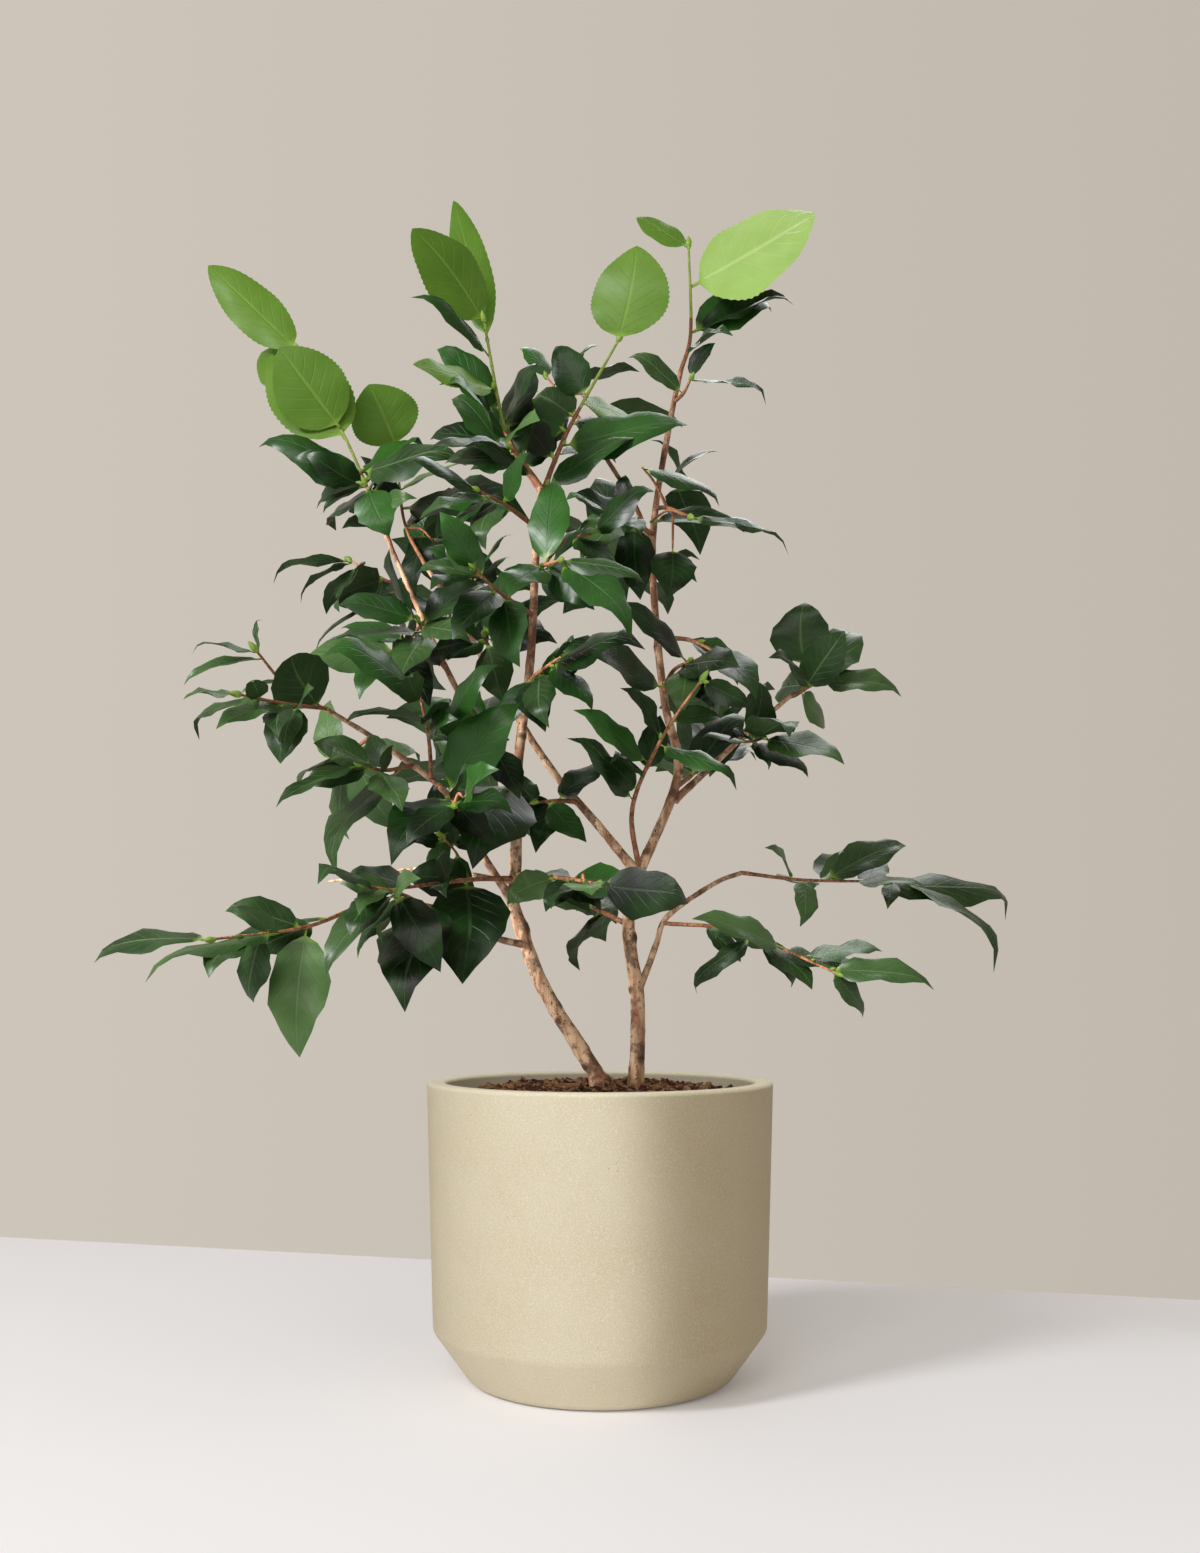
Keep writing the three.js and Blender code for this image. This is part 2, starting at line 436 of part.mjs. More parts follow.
// A limb as two solids: itself, and a sleeve round it that its neighbours are cut by.
function makeLimb(spec) {
  const route = spec.route.map(vector);
  const curve = smoothCurve(route);
  const [low, high] = spec.radii;
  const isStem = route[0].z < groundLevel;
  const radiusAt = (share) => {
    const height = curve.getPoint(share).z - groundLevel;
    const flare = isStem ? rootFlare * Math.exp(-Math.max(height, 0) / flareHeight) : 0;
    return mix(low, high, share) + flare;
  };
  let body = taperedTube(curve, radiusAt, spec.sides, spec.steps);
  const longer = smoothCurve([
    ...route.slice(0, -1),
    route.at(-1).clone().addScaledVector(curve.getTangent(1), clearance * 1.2),
  ]);
  const sleeve = taperedTube(longer, (share) => radiusAt(share) + sleeveGap, spec.sides, spec.steps);
  for (const other of limbs.values()) body = body.subtract(other.sleeve);
  if (isStem) body = body.trimByPlane([0, 0, 1], groundLevel);
  return { curve, radiusAt, sleeve, body: largest(body) };
}

function largest(solid) {
  const pieces = solid.decompose();
  return pieces.reduce((best, piece) => (piece.volume() > best.volume() ? piece : best));
}

const limbs = new Map();
for (const spec of limbSpecs) {
  const limb = makeLimb(spec);
  limbs.set(spec.name, limb);
  hold(limb.sleeve, spec.name);
}

// A mass's stem, cut clear of its limb, and what the mass needs to grow.
function startMass(spec, index) {
  const limb = limbs.get(spec.limb);
  const root = limb.curve.getPoint(spec.at);
  const curve = smoothCurve([root, ...spec.stem.map(vector)]);
  const rootRadius = Math.min(stemRadius.root, limb.radiusAt(spec.at) * stemToLimb);
  const radiusAt = (share) => mix(rootRadius, stemRadius.tip, share);
  const steps = 2 * spec.stem.length;
  const stem = taperedTube(curve, radiusAt, twigSides, steps);
  hold(stem, spec.name);
  return { spec, curve, radiusAt, random: seededNumbers(index + 1), solids: [stem] };
}

// Where the blade of a leaf at "place" looks, turned about its length by a seeded roll.
function facingAt(place, along, roll, young) {
  const outward = new THREE.Vector3(place.x, place.y, 0).normalize();
  const pull = young ? youngPull : THREE.MathUtils.clamp(1 - place.y / lightDepth, 0, 1);
  const facing = sky.clone().addScaledVector(light, pull).addScaledVector(outward, outwardPull);
  return squareTo(facing, along).applyAxisAngle(along, roll);
}

// Adds a leaf, and its side twig if it has one, where their place is free. The root is sunk to the
// middle of the twig that bears it.
function addLeaf(mass, root, tip, roll, broad, twig = null) {
  const along = tip.clone().sub(root).normalize();
  const { name, young } = mass.spec;
  const facing = facingAt(root.clone().lerp(tip, 0.5), along, roll, young);
  const shoulder = root.clone().lerp(tip, testStart);
  if (!isFree(leafBody(shoulder, tip, facing, broad, testMargin), name)) return false;
  const leaf = leafBody(root, tip, facing, broad, 0, twig);
  mass.solids.push(leaf);
  hold(leaf, "");
  return true;
}

// An outer leaf that reaches a given tip. One that stands further off has a side twig.
function growToTip(mass, tip, share, own = {}) {
  const { spec, curve, random } = mass;
  const { root, broad = spec.broad ?? 1 } = own;
  const onStem = typeof root === "number";
  const base = curve.getPoint(onStem ? root : share);
  const distance = base.distanceTo(tip);
  const length = spec.leaf * mix(outerLeaves.shortest, outerLeaves.longest, random());
  const roll = mix(-outerLeaves.roll, outerLeaves.roll, random()) * (spec.young ? youngRoll : 1);
  if (onStem || (!root && distance < length * longestReach)) {
    rollTries.some((turn) => addLeaf(mass, base, tip, roll + turn, broad));
    return;
  }
  const knee = root ? vector(root) : base.clone().lerp(tip, 1 - length / distance);
  const bend = base.clone().lerp(knee, 0.5).add(new THREE.Vector3(0, 0, twigRise * distance));
  const twig = smoothCurve([base, bend, knee]);
  const tube = taperedTube(twig, () => sideTwigRadius.root + testMargin, twigSides, twigTestSteps);
  const grown = isFree(tube, spec.name) &&
    rollTries.some((turn) => addLeaf(mass, knee, tip, roll + turn, broad, twig));
  if (grown && distance - length > twigLeaf.leastTwig * length) {
    growSeeded(mass, twig, twigLeaf.at, twigLeaf.size);
  }
}

// A leaf set by the seeded rule: it stands off its twig at the next golden angle that is free.
function growSeeded(mass, curve, share, size) {
  const { spec, random } = mass;
  const base = curve.getPoint(share);
  const along = curve.getTangent(share).normalize();
  const length = spec.leaf * size * mix(seededLeaves.shortest, seededLeaves.longest, random());
  const first = 2 * Math.PI * random();
  const roll = mix(-seededLeaves.roll, seededLeaves.roll, random());
  for (let turn = 0; turn < leafTurns; turn++) {
    const across = squareTo(sky, along).applyAxisAngle(along, first + goldenAngle * turn);
    const way = along.clone().multiplyScalar(Math.cos(leafSpread))
      .addScaledVector(across, Math.sin(leafSpread)).add(leafDroop).normalize();
    const tip = base.clone().addScaledVector(way, length);
    if (addLeaf(mass, base, tip, roll, spec.broad ?? 1)) return;
  }
}

// Outer leaves with a root of their own have the first choice of place.
const masses = massSpecs.map(startMass);
for (const first of [true, false]) {
  for (const mass of masses) {
    const { tips, own = {} } = mass.spec;
    tips.forEach((tip, i) => {
      if (i in own !== first) return;
      const share = mix(outerLeaves.from, outerLeaves.to, (i + 1) / tips.length);
      growToTip(mass, vector(tip), share, own[i]);
    });
  }
}
for (const mass of masses) {
  for (let i = 0; i < mass.spec.more; i++) {
    const share = mix(seededLeaves.from, seededLeaves.to, (i + mass.random()) / mass.spec.more);
    growSeeded(mass, mass.curve, share, seededLeaves.size);
  }
}

// One closed solid of everything that grows on a mass's stem, clear of every limb.
function fuseMass(mass) {
  let fused = wasm.Manifold.union(mass.solids);
  for (const limb of limbs.values()) fused = fused.subtract(limb.sleeve);
  return largest(fused.simplify(sliver));
}

function geometryOf(solid) {
  const { vertProperties, triVerts, numProp } = solid.getMesh();
  const geometry = new THREE.BufferGeometry();
  const points = new THREE.InterleavedBuffer(vertProperties, numProp);
  geometry.setAttribute("position", new THREE.InterleavedBufferAttribute(points, 3, 0));
  geometry.setIndex(new THREE.BufferAttribute(triVerts, 1));
  return geometry;
}

function potGeometry() {
  const innerRadius = potRimRadius - potWall;
  const innerFoot = potShoulderRadius - potWall;
  const profile = [
    [0, 0],
    [potFootRadius, 0],
    [potShoulderRadius, potShoulderHeight],
    [potRimRadius, potHeight - potEdge],
    [potRimRadius - potEdge, potHeight],
    [innerRadius + potEdge, potHeight],
    [innerRadius, potHeight - potEdge],
    [innerFoot, potShoulderHeight],
    [potFootRadius - potWall, potFloor],
    [0, potFloor],
  ];
  return new THREE.LatheGeometry(profile.map(([r, z]) => new THREE.Vector2(r, z)), potFacets);
}

function soilGeometry() {
  const bottomRadius = potFootRadius - potWall - clearance;
  const footRadius = potShoulderRadius - potWall - clearance;
  const draft = (potRimRadius - potShoulderRadius) / (potHeight - potShoulderHeight);
  const wallRadius = footRadius + draft * (soilAtWall - potShoulderHeight);
  const profile = [
    [0, potFloor + clearance],
    [bottomRadius, potFloor + clearance],
    [footRadius - clearance, potShoulderHeight + clearance],
    [wallRadius, soilAtWall],
    [mix(soilFlatRadius, wallRadius, soilShoulder.out), mix(soilTop, soilAtWall, soilShoulder.down)],
    [soilFlatRadius, soilTop],
    [0, soilTop],
  ];
  return new THREE.LatheGeometry(profile.map(([r, z]) => new THREE.Vector2(r, z)), potFacets);
}

const group = new THREE.Group();

function addPiece(name, geometry, look) {
  const mesh = new THREE.Mesh(geometry, new THREE.MeshStandardMaterial(look));
  mesh.name = name;
  group.add(mesh);
  return mesh;
}

// The lathe turns about Y, so these two are stood up.
addPiece("planter", potGeometry(), potLook).rotation.x = Math.PI / 2;
addPiece("compost", soilGeometry(), soilLook).rotation.x = Math.PI / 2;
for (const [name, limb] of limbs) addPiece(name, geometryOf(limb.body), barkLook);
for (const mass of masses) {
  const look = mass.spec.young ? youngLeafLook : oldLeafLook;
  addPiece(mass.spec.name, geometryOf(fuseMass(mass)), look);
}

export default group;
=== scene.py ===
import json
import math

import bpy
import numpy as np
from mathutils import Matrix, Vector, noise
from mathutils.bvhtree import BVHTree

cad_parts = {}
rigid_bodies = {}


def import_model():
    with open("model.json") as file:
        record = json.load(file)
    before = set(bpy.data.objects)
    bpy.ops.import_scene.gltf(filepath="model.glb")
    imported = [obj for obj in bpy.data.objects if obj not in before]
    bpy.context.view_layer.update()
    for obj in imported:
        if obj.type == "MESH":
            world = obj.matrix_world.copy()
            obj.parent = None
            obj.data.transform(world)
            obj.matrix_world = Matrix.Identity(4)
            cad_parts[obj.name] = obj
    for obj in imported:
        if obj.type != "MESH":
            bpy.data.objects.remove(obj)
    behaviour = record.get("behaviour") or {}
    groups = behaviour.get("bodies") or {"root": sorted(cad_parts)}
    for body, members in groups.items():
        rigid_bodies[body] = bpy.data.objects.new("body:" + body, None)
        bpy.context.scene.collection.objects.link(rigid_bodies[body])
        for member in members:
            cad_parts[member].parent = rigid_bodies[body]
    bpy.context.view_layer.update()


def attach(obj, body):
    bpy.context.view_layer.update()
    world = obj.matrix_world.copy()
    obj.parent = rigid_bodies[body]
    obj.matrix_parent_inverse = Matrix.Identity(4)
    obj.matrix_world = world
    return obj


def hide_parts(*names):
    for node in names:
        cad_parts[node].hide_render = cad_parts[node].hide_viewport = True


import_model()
metre = 0.001  # metres in one millimetre of the tables below


def say(stage):
    print("camellia:", stage)


camera = dict(lens=34.84, sensor=36.0, place=(0, -1.136, 0.299), shiftUp=0.131)


def addCamera():
    data = bpy.data.cameras.new("camera")
    data.lens, data.sensor_width, data.shift_y = camera["lens"], camera["sensor"], camera["shiftUp"]
    data.clip_start, data.clip_end = 0.05, 50
    eye = bpy.data.objects.new("camera", data)
    eye.location, eye.rotation_euler = camera["place"], (math.pi / 2, 0, 0)  # level, looking along +Y
    bpy.context.scene.collection.objects.link(eye)
    bpy.context.scene.camera = eye


addCamera()
say("camera")


# The plan of the plant, in mm. A limb tapers from its first radius to its last along its route.
limbs = [
    dict(name="stem_left", sides=8, radii=[6.2, 4.9], steps=9,
         route=[[0, -22, 214], [-3, -22, 229], [-14, -20, 247], [-33, -16, 277], [-48, -13, 306],
                [-65, -10, 355]]),
    dict(name="stem_right", sides=8, radii=[5.9, 4.3], steps=8,
         route=[[26, -10, 213], [28, -8, 246], [28, -6, 288], [23, -4, 322], [22, -2, 348],
                [27, 0, 375]]),
    dict(name="leader_left", sides=6, radii=[4.7, 2.5], steps=11,
         route=[[-65, -10, 355], [-63, -8, 397], [-63, -8, 438], [-60, -10, 475], [-52, -13, 538],
                [-48, -16, 612], [-44, -20, 665]]),
    dict(name="leader_right", sides=6, radii=[4.2, 1.9], steps=15,
         route=[[27, 0, 375], [39, 4, 401], [56, 8, 442], [59, 8, 470], [49, 8, 512], [41, 12, 597],
                [42, 16, 655], [55, 20, 734], [62, 22, 767]]),
    dict(name="bough_left", sides=5, radii=[3.1, 1.6], steps=7,
         route=[[-66, -10, 359], [-84, -24, 387], [-109, -42, 432], [-153, -62, 466], [-192, -84, 489]]),
    dict(name="bough_upper_left", sides=5, radii=[2.9, 1.7], steps=8,
         route=[[-63, -8, 438], [-78, 4, 461], [-100, 18, 502], [-138, 42, 580], [-170, 56, 652]]),
    dict(name="bough_cross", sides=5, radii=[3.6, 1.8], steps=9,
         route=[[27, 0, 381], [0, 18, 416], [-36, 38, 461], [-75, 56, 523], [-117, 82, 598],
                [-143, 94, 638]]),
    dict(name="bough_low_left", sides=5, radii=[2.6, 1.6], steps=7,
         route=[[-55, -12, 325], [-77, -30, 330], [-98, -50, 341], [-120, -66, 351], [-142, -82, 352],
                [-173, -98, 347]]),
    dict(name="bough_thin_left", sides=4, radii=[1.7, 0.9], steps=6,
         route=[[-64, -9, 372], [-102, 22, 381], [-146, 52, 387], [-221, 88, 379]]),
    dict(name="bough_low_right", sides=5, radii=[2.7, 1.7], steps=7,
         route=[[28, -6, 290], [36, -2, 308], [43, 4, 327], [52, 12, 348], [89, 32, 374],
                [111, 42, 383]]),
    dict(name="bough_mid_right", sides=5, radii=[2.7, 1.6], steps=5,
         route=[[57, 8, 436], [82, 22, 460], [119, 42, 496], [151, 56, 524]]),
    dict(name="bough_top_back", sides=5, radii=[2.1, 1.5], steps=6,
         route=[[41, 12, 620], [29, 26, 662], [8, 42, 703], [-19, 60, 749]]),
]

# Each mass grows on a limb, "at" a share of it, along its stem. Its outer leaves reach for the tips, and
# "own" has what one of them starts from, a share of the stem or a place, and how broad it is. "more"
# leaves follow by the rule. Tips in "young", "fresh", "mild", "lush" and "dusky" have leaves of another
# tone. Past "shoot" the stem is a green shoot, and a "sparse" mass gets no finer leaves.
masses = [
    dict(name="foliage_low_left", limb="bough_low_left", at=1, leaf=59, more=2, lush=[0],
         stem=[[-197, -148, 333], [-248, -176, 325]],
         tips=[[-197, -150, 248], [-268, -118, 307], [-227, -150, 284], [-279, -215, 297],
               [-332, -150, 310]],
         own={0: dict(root=0.45, broad=0.95), 1: dict(root=0.15, broad=0.5),
              2: dict(root=0.74, broad=1.2), 3: dict(root=0.64, broad=0.5),
              4: dict(root=1, broad=0.65)}),
    dict(name="foliage_low_left_inner", limb="bough_low_left", at=0.64, leaf=53, more=2, dusky=[0, 1],
         stem=[[-132, -146, 356], [-151, -166, 360]],
         tips=[[-126, -165, 278], [-104, -155, 304], [-174, -180, 302], [-159, -150, 313],
               [-172, -221, 357]],
         own={0: dict(root=0.12, broad=1), 2: dict(root=0.55, broad=0.75),
              3: dict(root=0.45, broad=0.6)}),
    dict(name="foliage_low_centre_left", limb="leader_left", at=0.08, leaf=57, broad=1.25, more=2,
         dusky=[0],
         stem=[[-97, -52, 371], [-147, -110, 360]],
         tips=[[-95, -98, 296], [-106, -91, 388], [-130, -83, 324], [-167, -131, 363]],
         own={0: dict(root=0.5, broad=1.3)}),
    dict(name="foliage_centre_left", limb="bough_left", at=0.55, leaf=53, more=1, lush=[0, 3],
         stem=[[-102, -104, 423], [-96, -146, 414]],
         tips=[[-55, -95, 491], [-115, -138, 399], [-137, -150, 374], [-63, -193, 431]],
         own={0: dict(root=0.3, broad=0.95), 2: dict(root=0.4, broad=0.9)}),
    dict(name="foliage_left_middle", limb="bough_left", at=0.65, leaf=58, more=2,
         stem=[[-148, -104, 443], [-161, -125, 444]],
         tips=[[-160, -83, 471], [-114, -127, 410], [-178, -120, 369], [-174, -166, 441],
               [-215, -140, 413]],
         own={2: dict(root=0.2, broad=0.8), 4: dict(root=1, broad=0.62)}),
    dict(name="foliage_left", limb="bough_left", at=1, leaf=47, more=1, lush=[0],
         stem=[[-209, -127, 484], [-235, -156, 485]],
         tips=[[-169, -138, 437], [-216, -120, 445], [-204, -140, 514], [-247, -170, 460],
               [-276, -100, 464], [-262, -192, 475]],
         own={1: dict(root=0.35, broad=1.5), 2: dict(root=0.06, broad=1.5),
              3: dict(root=0.55, broad=0.8), 4: dict(root=0.8, broad=0.5), 5: dict(root=1, broad=0.62)}),
    dict(name="foliage_left_tip", limb="bough_left", at=0.97, leaf=44, more=1,
         stem=[[-218, -78, 503], [-239, -94, 528]],
         tips=[[-237, -80, 552], [-279, -110, 521], [-287, -100, 502]],
         own={0: dict(root=0.95, broad=0.4), 1: dict(root=0.97, broad=0.45),
              2: dict(root=0.9, broad=0.42)}),
    dict(name="foliage_left_shoot", limb="bough_left", at=0.58, leaf=59, more=1,
         stem=[[-120, -86, 470], [-126, -99, 503]],
         tips=[[-69, -116, 513], [-168, -144, 469], [-133, -127, 465], [-185, -135, 515]]),
    dict(name="foliage_upper_left_low", limb="bough_upper_left", at=0.84, leaf=61, more=2,
         stem=[[-174, 81, 623], [-206, 104, 645]],
         tips=[[-123, 34, 544], [-202, 30, 584], [-229, 70, 561], [-198, 62, 597], [-250, 120, 613],
               [-269, 100, 624]],
         own={2: dict(root=0.1, broad=0.85), 3: dict(root=0.9, broad=1.2),
              4: dict(root=0.97, broad=0.45), 5: dict(root=1, broad=0.62)}),
    dict(name="foliage_upper_left", limb="bough_upper_left", at=1, leaf=87, broad=1.1, more=0,
         shoot=0.42, young=[3, 4, 5, 6],
         stem=[[-190, 86, 701], [-214, 104, 754], [-254, 125, 829]],
         tips=[[-106, 60, 708], [-281, 100, 737], [-225, 85, 678], [-262, 92, 816], [-278, 140, 834],
               [-293, 166, 843], [-335, 149, 910]],
         own={0: dict(root=0.42, broad=0.8), 1: dict(root=0.36, broad=0.62),
              2: dict(root=0.33, broad=0.7), 3: dict(root=0.66, broad=1.5),
              4: dict(root=0.6, broad=1.1), 6: dict(root=0.98, broad=0.68)}),
    dict(name="foliage_inner_left", limb="bough_cross", at=1, leaf=69, more=1, shoot=0.6, young=[4],
         stem=[[-165, 130, 686], [-173, 138, 752]],
         tips=[[-83, 110, 621], [-105, 97, 675], [-57, 84, 672], [-199, 112, 734], [-193, 118, 796]],
         own={2: dict(root=0.6, broad=0.75), 3: dict(root=0.62, broad=0.75),
              4: dict(root=0.98, broad=2.2)}),
    dict(name="foliage_top_left", limb="leader_left", at=1, leaf=71, more=2, shoot=0.5, young=[6, 7],
         stem=[[-69, -30, 702], [-83, -62, 770]],
         tips=[[-99, -50, 684], [-42, -83, 691], [-114, -75, 719], [-36, -60, 737], [-120, -30, 763],
               [-132, -90, 774], [-110, -8, 884], [-131, -88, 823]],
         own={0: dict(root=0.1, broad=0.65), 2: dict(root=0.45, broad=1), 3: dict(root=0.55, broad=0.9),
              4: dict(root=0.6, broad=0.75), 5: dict(root=0.85, broad=0.5),
              6: dict(root=0.9, broad=0.4), 7: dict(root=0.98, broad=1.35)}),
    dict(name="foliage_top_middle", limb="leader_left", at=0.97, leaf=60, broad=1.4, more=1, shoot=0.62,
         young=[5],
         stem=[[-24, -4, 713], [14, 6, 785]],
         tips=[[21, -30, 678], [-72, 6, 732], [-50, 24, 745], [26, -30, 698], [-34, 10, 782],
               [28, 0, 854], [66, -14, 713]],
         own={3: dict(root=0.1, broad=0.7), 4: dict(root=0.7, broad=1.2),
              5: dict(root=0.98, broad=1.72), 6: dict(root=0.4, broad=0.95)}),
    dict(name="foliage_top_back", limb="bough_top_back", at=1, leaf=69, more=0, lush=[3],
         stem=[[-31, 88, 773], [-44, 99, 795]],
         tips=[[68, 97, 752], [33, 110, 803], [0, 60, 804], [-67, 116, 824]]),
    dict(name="foliage_top_right", limb="leader_right", at=1, leaf=93, more=0, shoot=0.6, young=[1, 3],
         fresh=[1],
         stem=[[70, 25, 799], [69, 34, 870]],
         tips=[[152, 40, 827], [163, 0, 878], [99, -20, 777], [29, 56, 904]],
         own={0: dict(root=0.5, broad=0.5), 1: dict(root=0.78, broad=1.8),
              2: dict(root=0.3, broad=0.75), 3: dict(root=0.99, broad=0.75)}),
    dict(name="foliage_right_upper", limb="leader_right", at=0.76, leaf=68, more=0, sparse=True,
         stem=[[51, -18, 650], [64, -62, 630]],
         tips=[[88, -30, 647], [50, -40, 577], [135, -60, 603], [110, 4, 638]],
         own={0: dict(root=[31, -34, 675], broad=0.85), 1: dict(root=[54, -18, 620], broad=1.4),
              2: dict(root=1, broad=0.5), 3: dict(root=[38, -4, 644], broad=0.75)}),
    dict(name="foliage_right_back", limb="leader_right", at=0.8, leaf=68, more=0, sparse=True,
         stem=[[57, 50, 694], [74, 104, 695]],
         tips=[[93, 50, 716], [84, 124, 655], [22, 60, 665], [41, 97, 742]]),
    dict(name="foliage_centre_upper", limb="leader_left", at=0.81, leaf=56, more=1, lush=[0],
         stem=[[-41, -65, 594], [-27, -112, 585]],
         tips=[[-31, -50, 660], [39, -83, 641], [-62, -110, 560], [30, -120, 567], [21, -140, 524],
               [-25, -179, 546]],
         own={0: dict(root=0.6, broad=0.85), 2: dict(root=0.55, broad=1.2), 3: dict(root=1, broad=0.62),
              4: dict(root=0.95, broad=0.72)}),
    dict(name="foliage_centre", limb="leader_left", at=0.61, leaf=58, more=2,
         stem=[[-47, -57, 517], [-26, -94, 524]],
         tips=[[-72, -55, 475], [-35, -97, 473], [31, -116, 523], [-17, -124, 528]]),
    dict(name="foliage_front", limb="leader_right", at=0.03, leaf=57, more=1,
         stem=[[24, -24, 426], [44, -65, 471], [71, -83, 509]],
         tips=[[-24, -60, 472], [96, -80, 432], [-19, -84, 488], [14, -80, 504], [105, -84, 489]],
         own={0: dict(root=0.37, broad=0.6), 1: dict(root=0.64, broad=0.6),
              2: dict(root=0.55, broad=0.6), 3: dict(root=0.66, broad=0.8), 4: dict(root=1, broad=1)}),
    dict(name="foliage_centre_right", limb="leader_right", at=0.51, leaf=64, more=1,
         stem=[[54, -14, 529], [65, -44, 531]],
         tips=[[-32, -30, 541], [98, -83, 518], [9, -70, 566]],
         own={0: dict(root=0.1, broad=0.75), 2: dict(root=0.95, broad=0.65)}),
    dict(name="foliage_under_cross", limb="bough_cross", at=0.3, leaf=49, more=1,
         stem=[[-32, 12, 436], [-49, 0, 433]],
         tips=[[10, 40, 465], [-10, -10, 402], [-66, 30, 454]]),
    dict(name="foliage_right", limb="bough_mid_right", at=1, leaf=68, broad=1.2, more=2, young=[2],
         mild=[2],
         stem=[[161, 58, 529], [180, 81, 542]],
         tips=[[182, 88, 504], [128, 8, 544], [167, 86, 606], [213, 116, 586], [240, 60, 524]],
         own={1: dict(root=0.5, broad=0.9), 2: dict(root=[167, 80, 551], broad=1.75),
              4: dict(root=0.95, broad=0.85)}),
    dict(name="foliage_right_middle", limb="bough_mid_right", at=0.57, leaf=60, more=2,
         stem=[[112, 0, 479], [121, -30, 477]],
         tips=[[77, 0, 482], [126, -10, 456], [132, -88, 468], [175, -61, 453]]),
    dict(name="foliage_low_right", limb="bough_low_right", at=1, leaf=73, more=1,
         stem=[[164, 54, 378], [246, 86, 379]],
         tips=[[127, 24, 401], [155, 30, 340], [191, 36, 399], [252, 100, 409], [228, 56, 355],
               [304, 25, 304], [340, 125, 349]],
         own={3: dict(root=0.6, broad=0.7), 4: dict(root=0.95, broad=0.8), 5: dict(root=1, broad=0.5),
              6: dict(root=0.84, broad=0.55)}),
    dict(name="foliage_low_right_front", limb="bough_low_right", at=0.55, leaf=60, more=1,
         stem=[[100, -52, 334], [163, -109, 303]],
         tips=[[131, -10, 326], [71, -40, 288], [148, -88, 292], [181, -100, 273], [226, -120, 292],
               [63, -100, 341]],
         own={1: dict(root=0.58, broad=0.6), 3: dict(root=0.97, broad=1.2),
              4: dict(root=0.95, broad=0.62), 5: dict(root=0.74, broad=0.8)}),
    dict(name="foliage_front_low", limb="leader_left", at=0.09, leaf=52, broad=1.3, more=1, dusky=[3],
         stem=[[-28, -91, 370], [-1, -153, 362]],
         tips=[[-65, -83, 352], [-37, -116, 345], [-5, -193, 352], [58, -150, 349]],
         own={3: dict(root=1, broad=2)}),
    dict(name="foliage_upper_left_middle", limb="bough_upper_left", at=0.75, leaf=62, more=1,
         stem=[[-146, 10, 558], [-155, -16, 541]],
         tips=[[-115, -10, 516], [-198, 10, 567], [-177, -30, 505], [-225, -10, 533], [-164, -55, 468]]),
    dict(name="foliage_cross_upper", limb="bough_cross", at=0.76, leaf=62, more=1,
         stem=[[-104, 50, 599], [-94, 26, 614]],
         tips=[[-41, 40, 565], [-131, 20, 591], [-49, 10, 595], [-135, 30, 634], [-65, 16, 640]]),
    dict(name="foliage_left_of_leader", limb="leader_left", at=0.74, leaf=58, more=1,
         stem=[[-72, -57, 577], [-89, -78, 589]],
         tips=[[-56, -83, 518], [-102, -97, 534], [-55, -97, 586], [-116, -110, 565], [-111, -97, 623]]),
    dict(name="foliage_low_of_leader", limb="leader_left", at=0.34, leaf=55, more=1,
         stem=[[-78, -57, 470], [-96, -86, 464]],
         tips=[[-57, -69, 427], [-84, -83, 502], [-105, -97, 420], [-135, -124, 447], [-126, -116, 489],
               [-90, -75, 377]],
         own={5: dict(root=0.1, broad=1.4)}),
    dict(name="foliage_upper_of_leader", limb="leader_left", at=0.9, leaf=59, more=1,
         stem=[[-67, -44, 643], [-87, -62, 649]],
         tips=[[-34, -69, 597], [-50, -69, 674], [-80, -83, 600], [-128, -69, 626], [-137, -77, 664]]),
    dict(name="foliage_between_leaders", limb="leader_right", at=0.72, leaf=58, more=1,
         stem=[[24, -16, 640], [4, -52, 634]],
         tips=[[30, -20, 581], [19, -20, 674], [-14, -69, 597], [-24, -83, 635]]),
    dict(name="foliage_right_of_leader", limb="leader_right", at=0.57, leaf=59, more=0,
         stem=[[66, -10, 554], [86, -26, 541]],
         tips=[[104, 0, 539], [111, -69, 498]]),
    dict(name="foliage_low_between", limb="bough_thin_left", at=0.33, leaf=54, more=1,
         stem=[[-110, 0, 397], [-119, -20, 407]],
         tips=[[-98, 0, 348], [-76, 10, 406], [-152, -20, 401], [-118, -30, 358]]),
    dict(name="foliage_top_inner", limb="leader_left", at=0.99, leaf=62, more=1,
         stem=[[-60, 0, 688], [-85, 20, 714]],
         tips=[[-31, 20, 714], [-100, 20, 691], [-62, 30, 753], [-116, 30, 749], [-132, 30, 718]]),
    dict(name="foliage_left_hanging", limb="bough_left", at=0.81, leaf=59, more=1,
         stem=[[-179, -57, 463], [-199, -30, 457]],
         tips=[[-144, -55, 407], [-135, -10, 460], [-184, -30, 402], [-213, -69, 434],
               [-200, -20, 507]]),
    dict(name="foliage_back_low", limb="stem_right", at=0.74, leaf=72, more=1,
         stem=[[-5, 30, 355], [-33, 104, 371]],
         tips=[[36, 60, 359], [-51, 152, 385], [11, 179, 413], [-85, 207, 396]]),
    dict(name="foliage_back_left", limb="leader_left", at=0.21, leaf=82, more=4,
         stem=[[-90, 91, 454], [-115, 195, 507]],
         tips=[[-137, 152, 453], [-78, 166, 507], [-190, 193, 458], [-158, 262, 559], [-94, 276, 557]]),
    dict(name="foliage_back_right", limb="leader_right", at=0.26, leaf=84, more=2,
         stem=[[83, 117, 478], [104, 221, 534]],
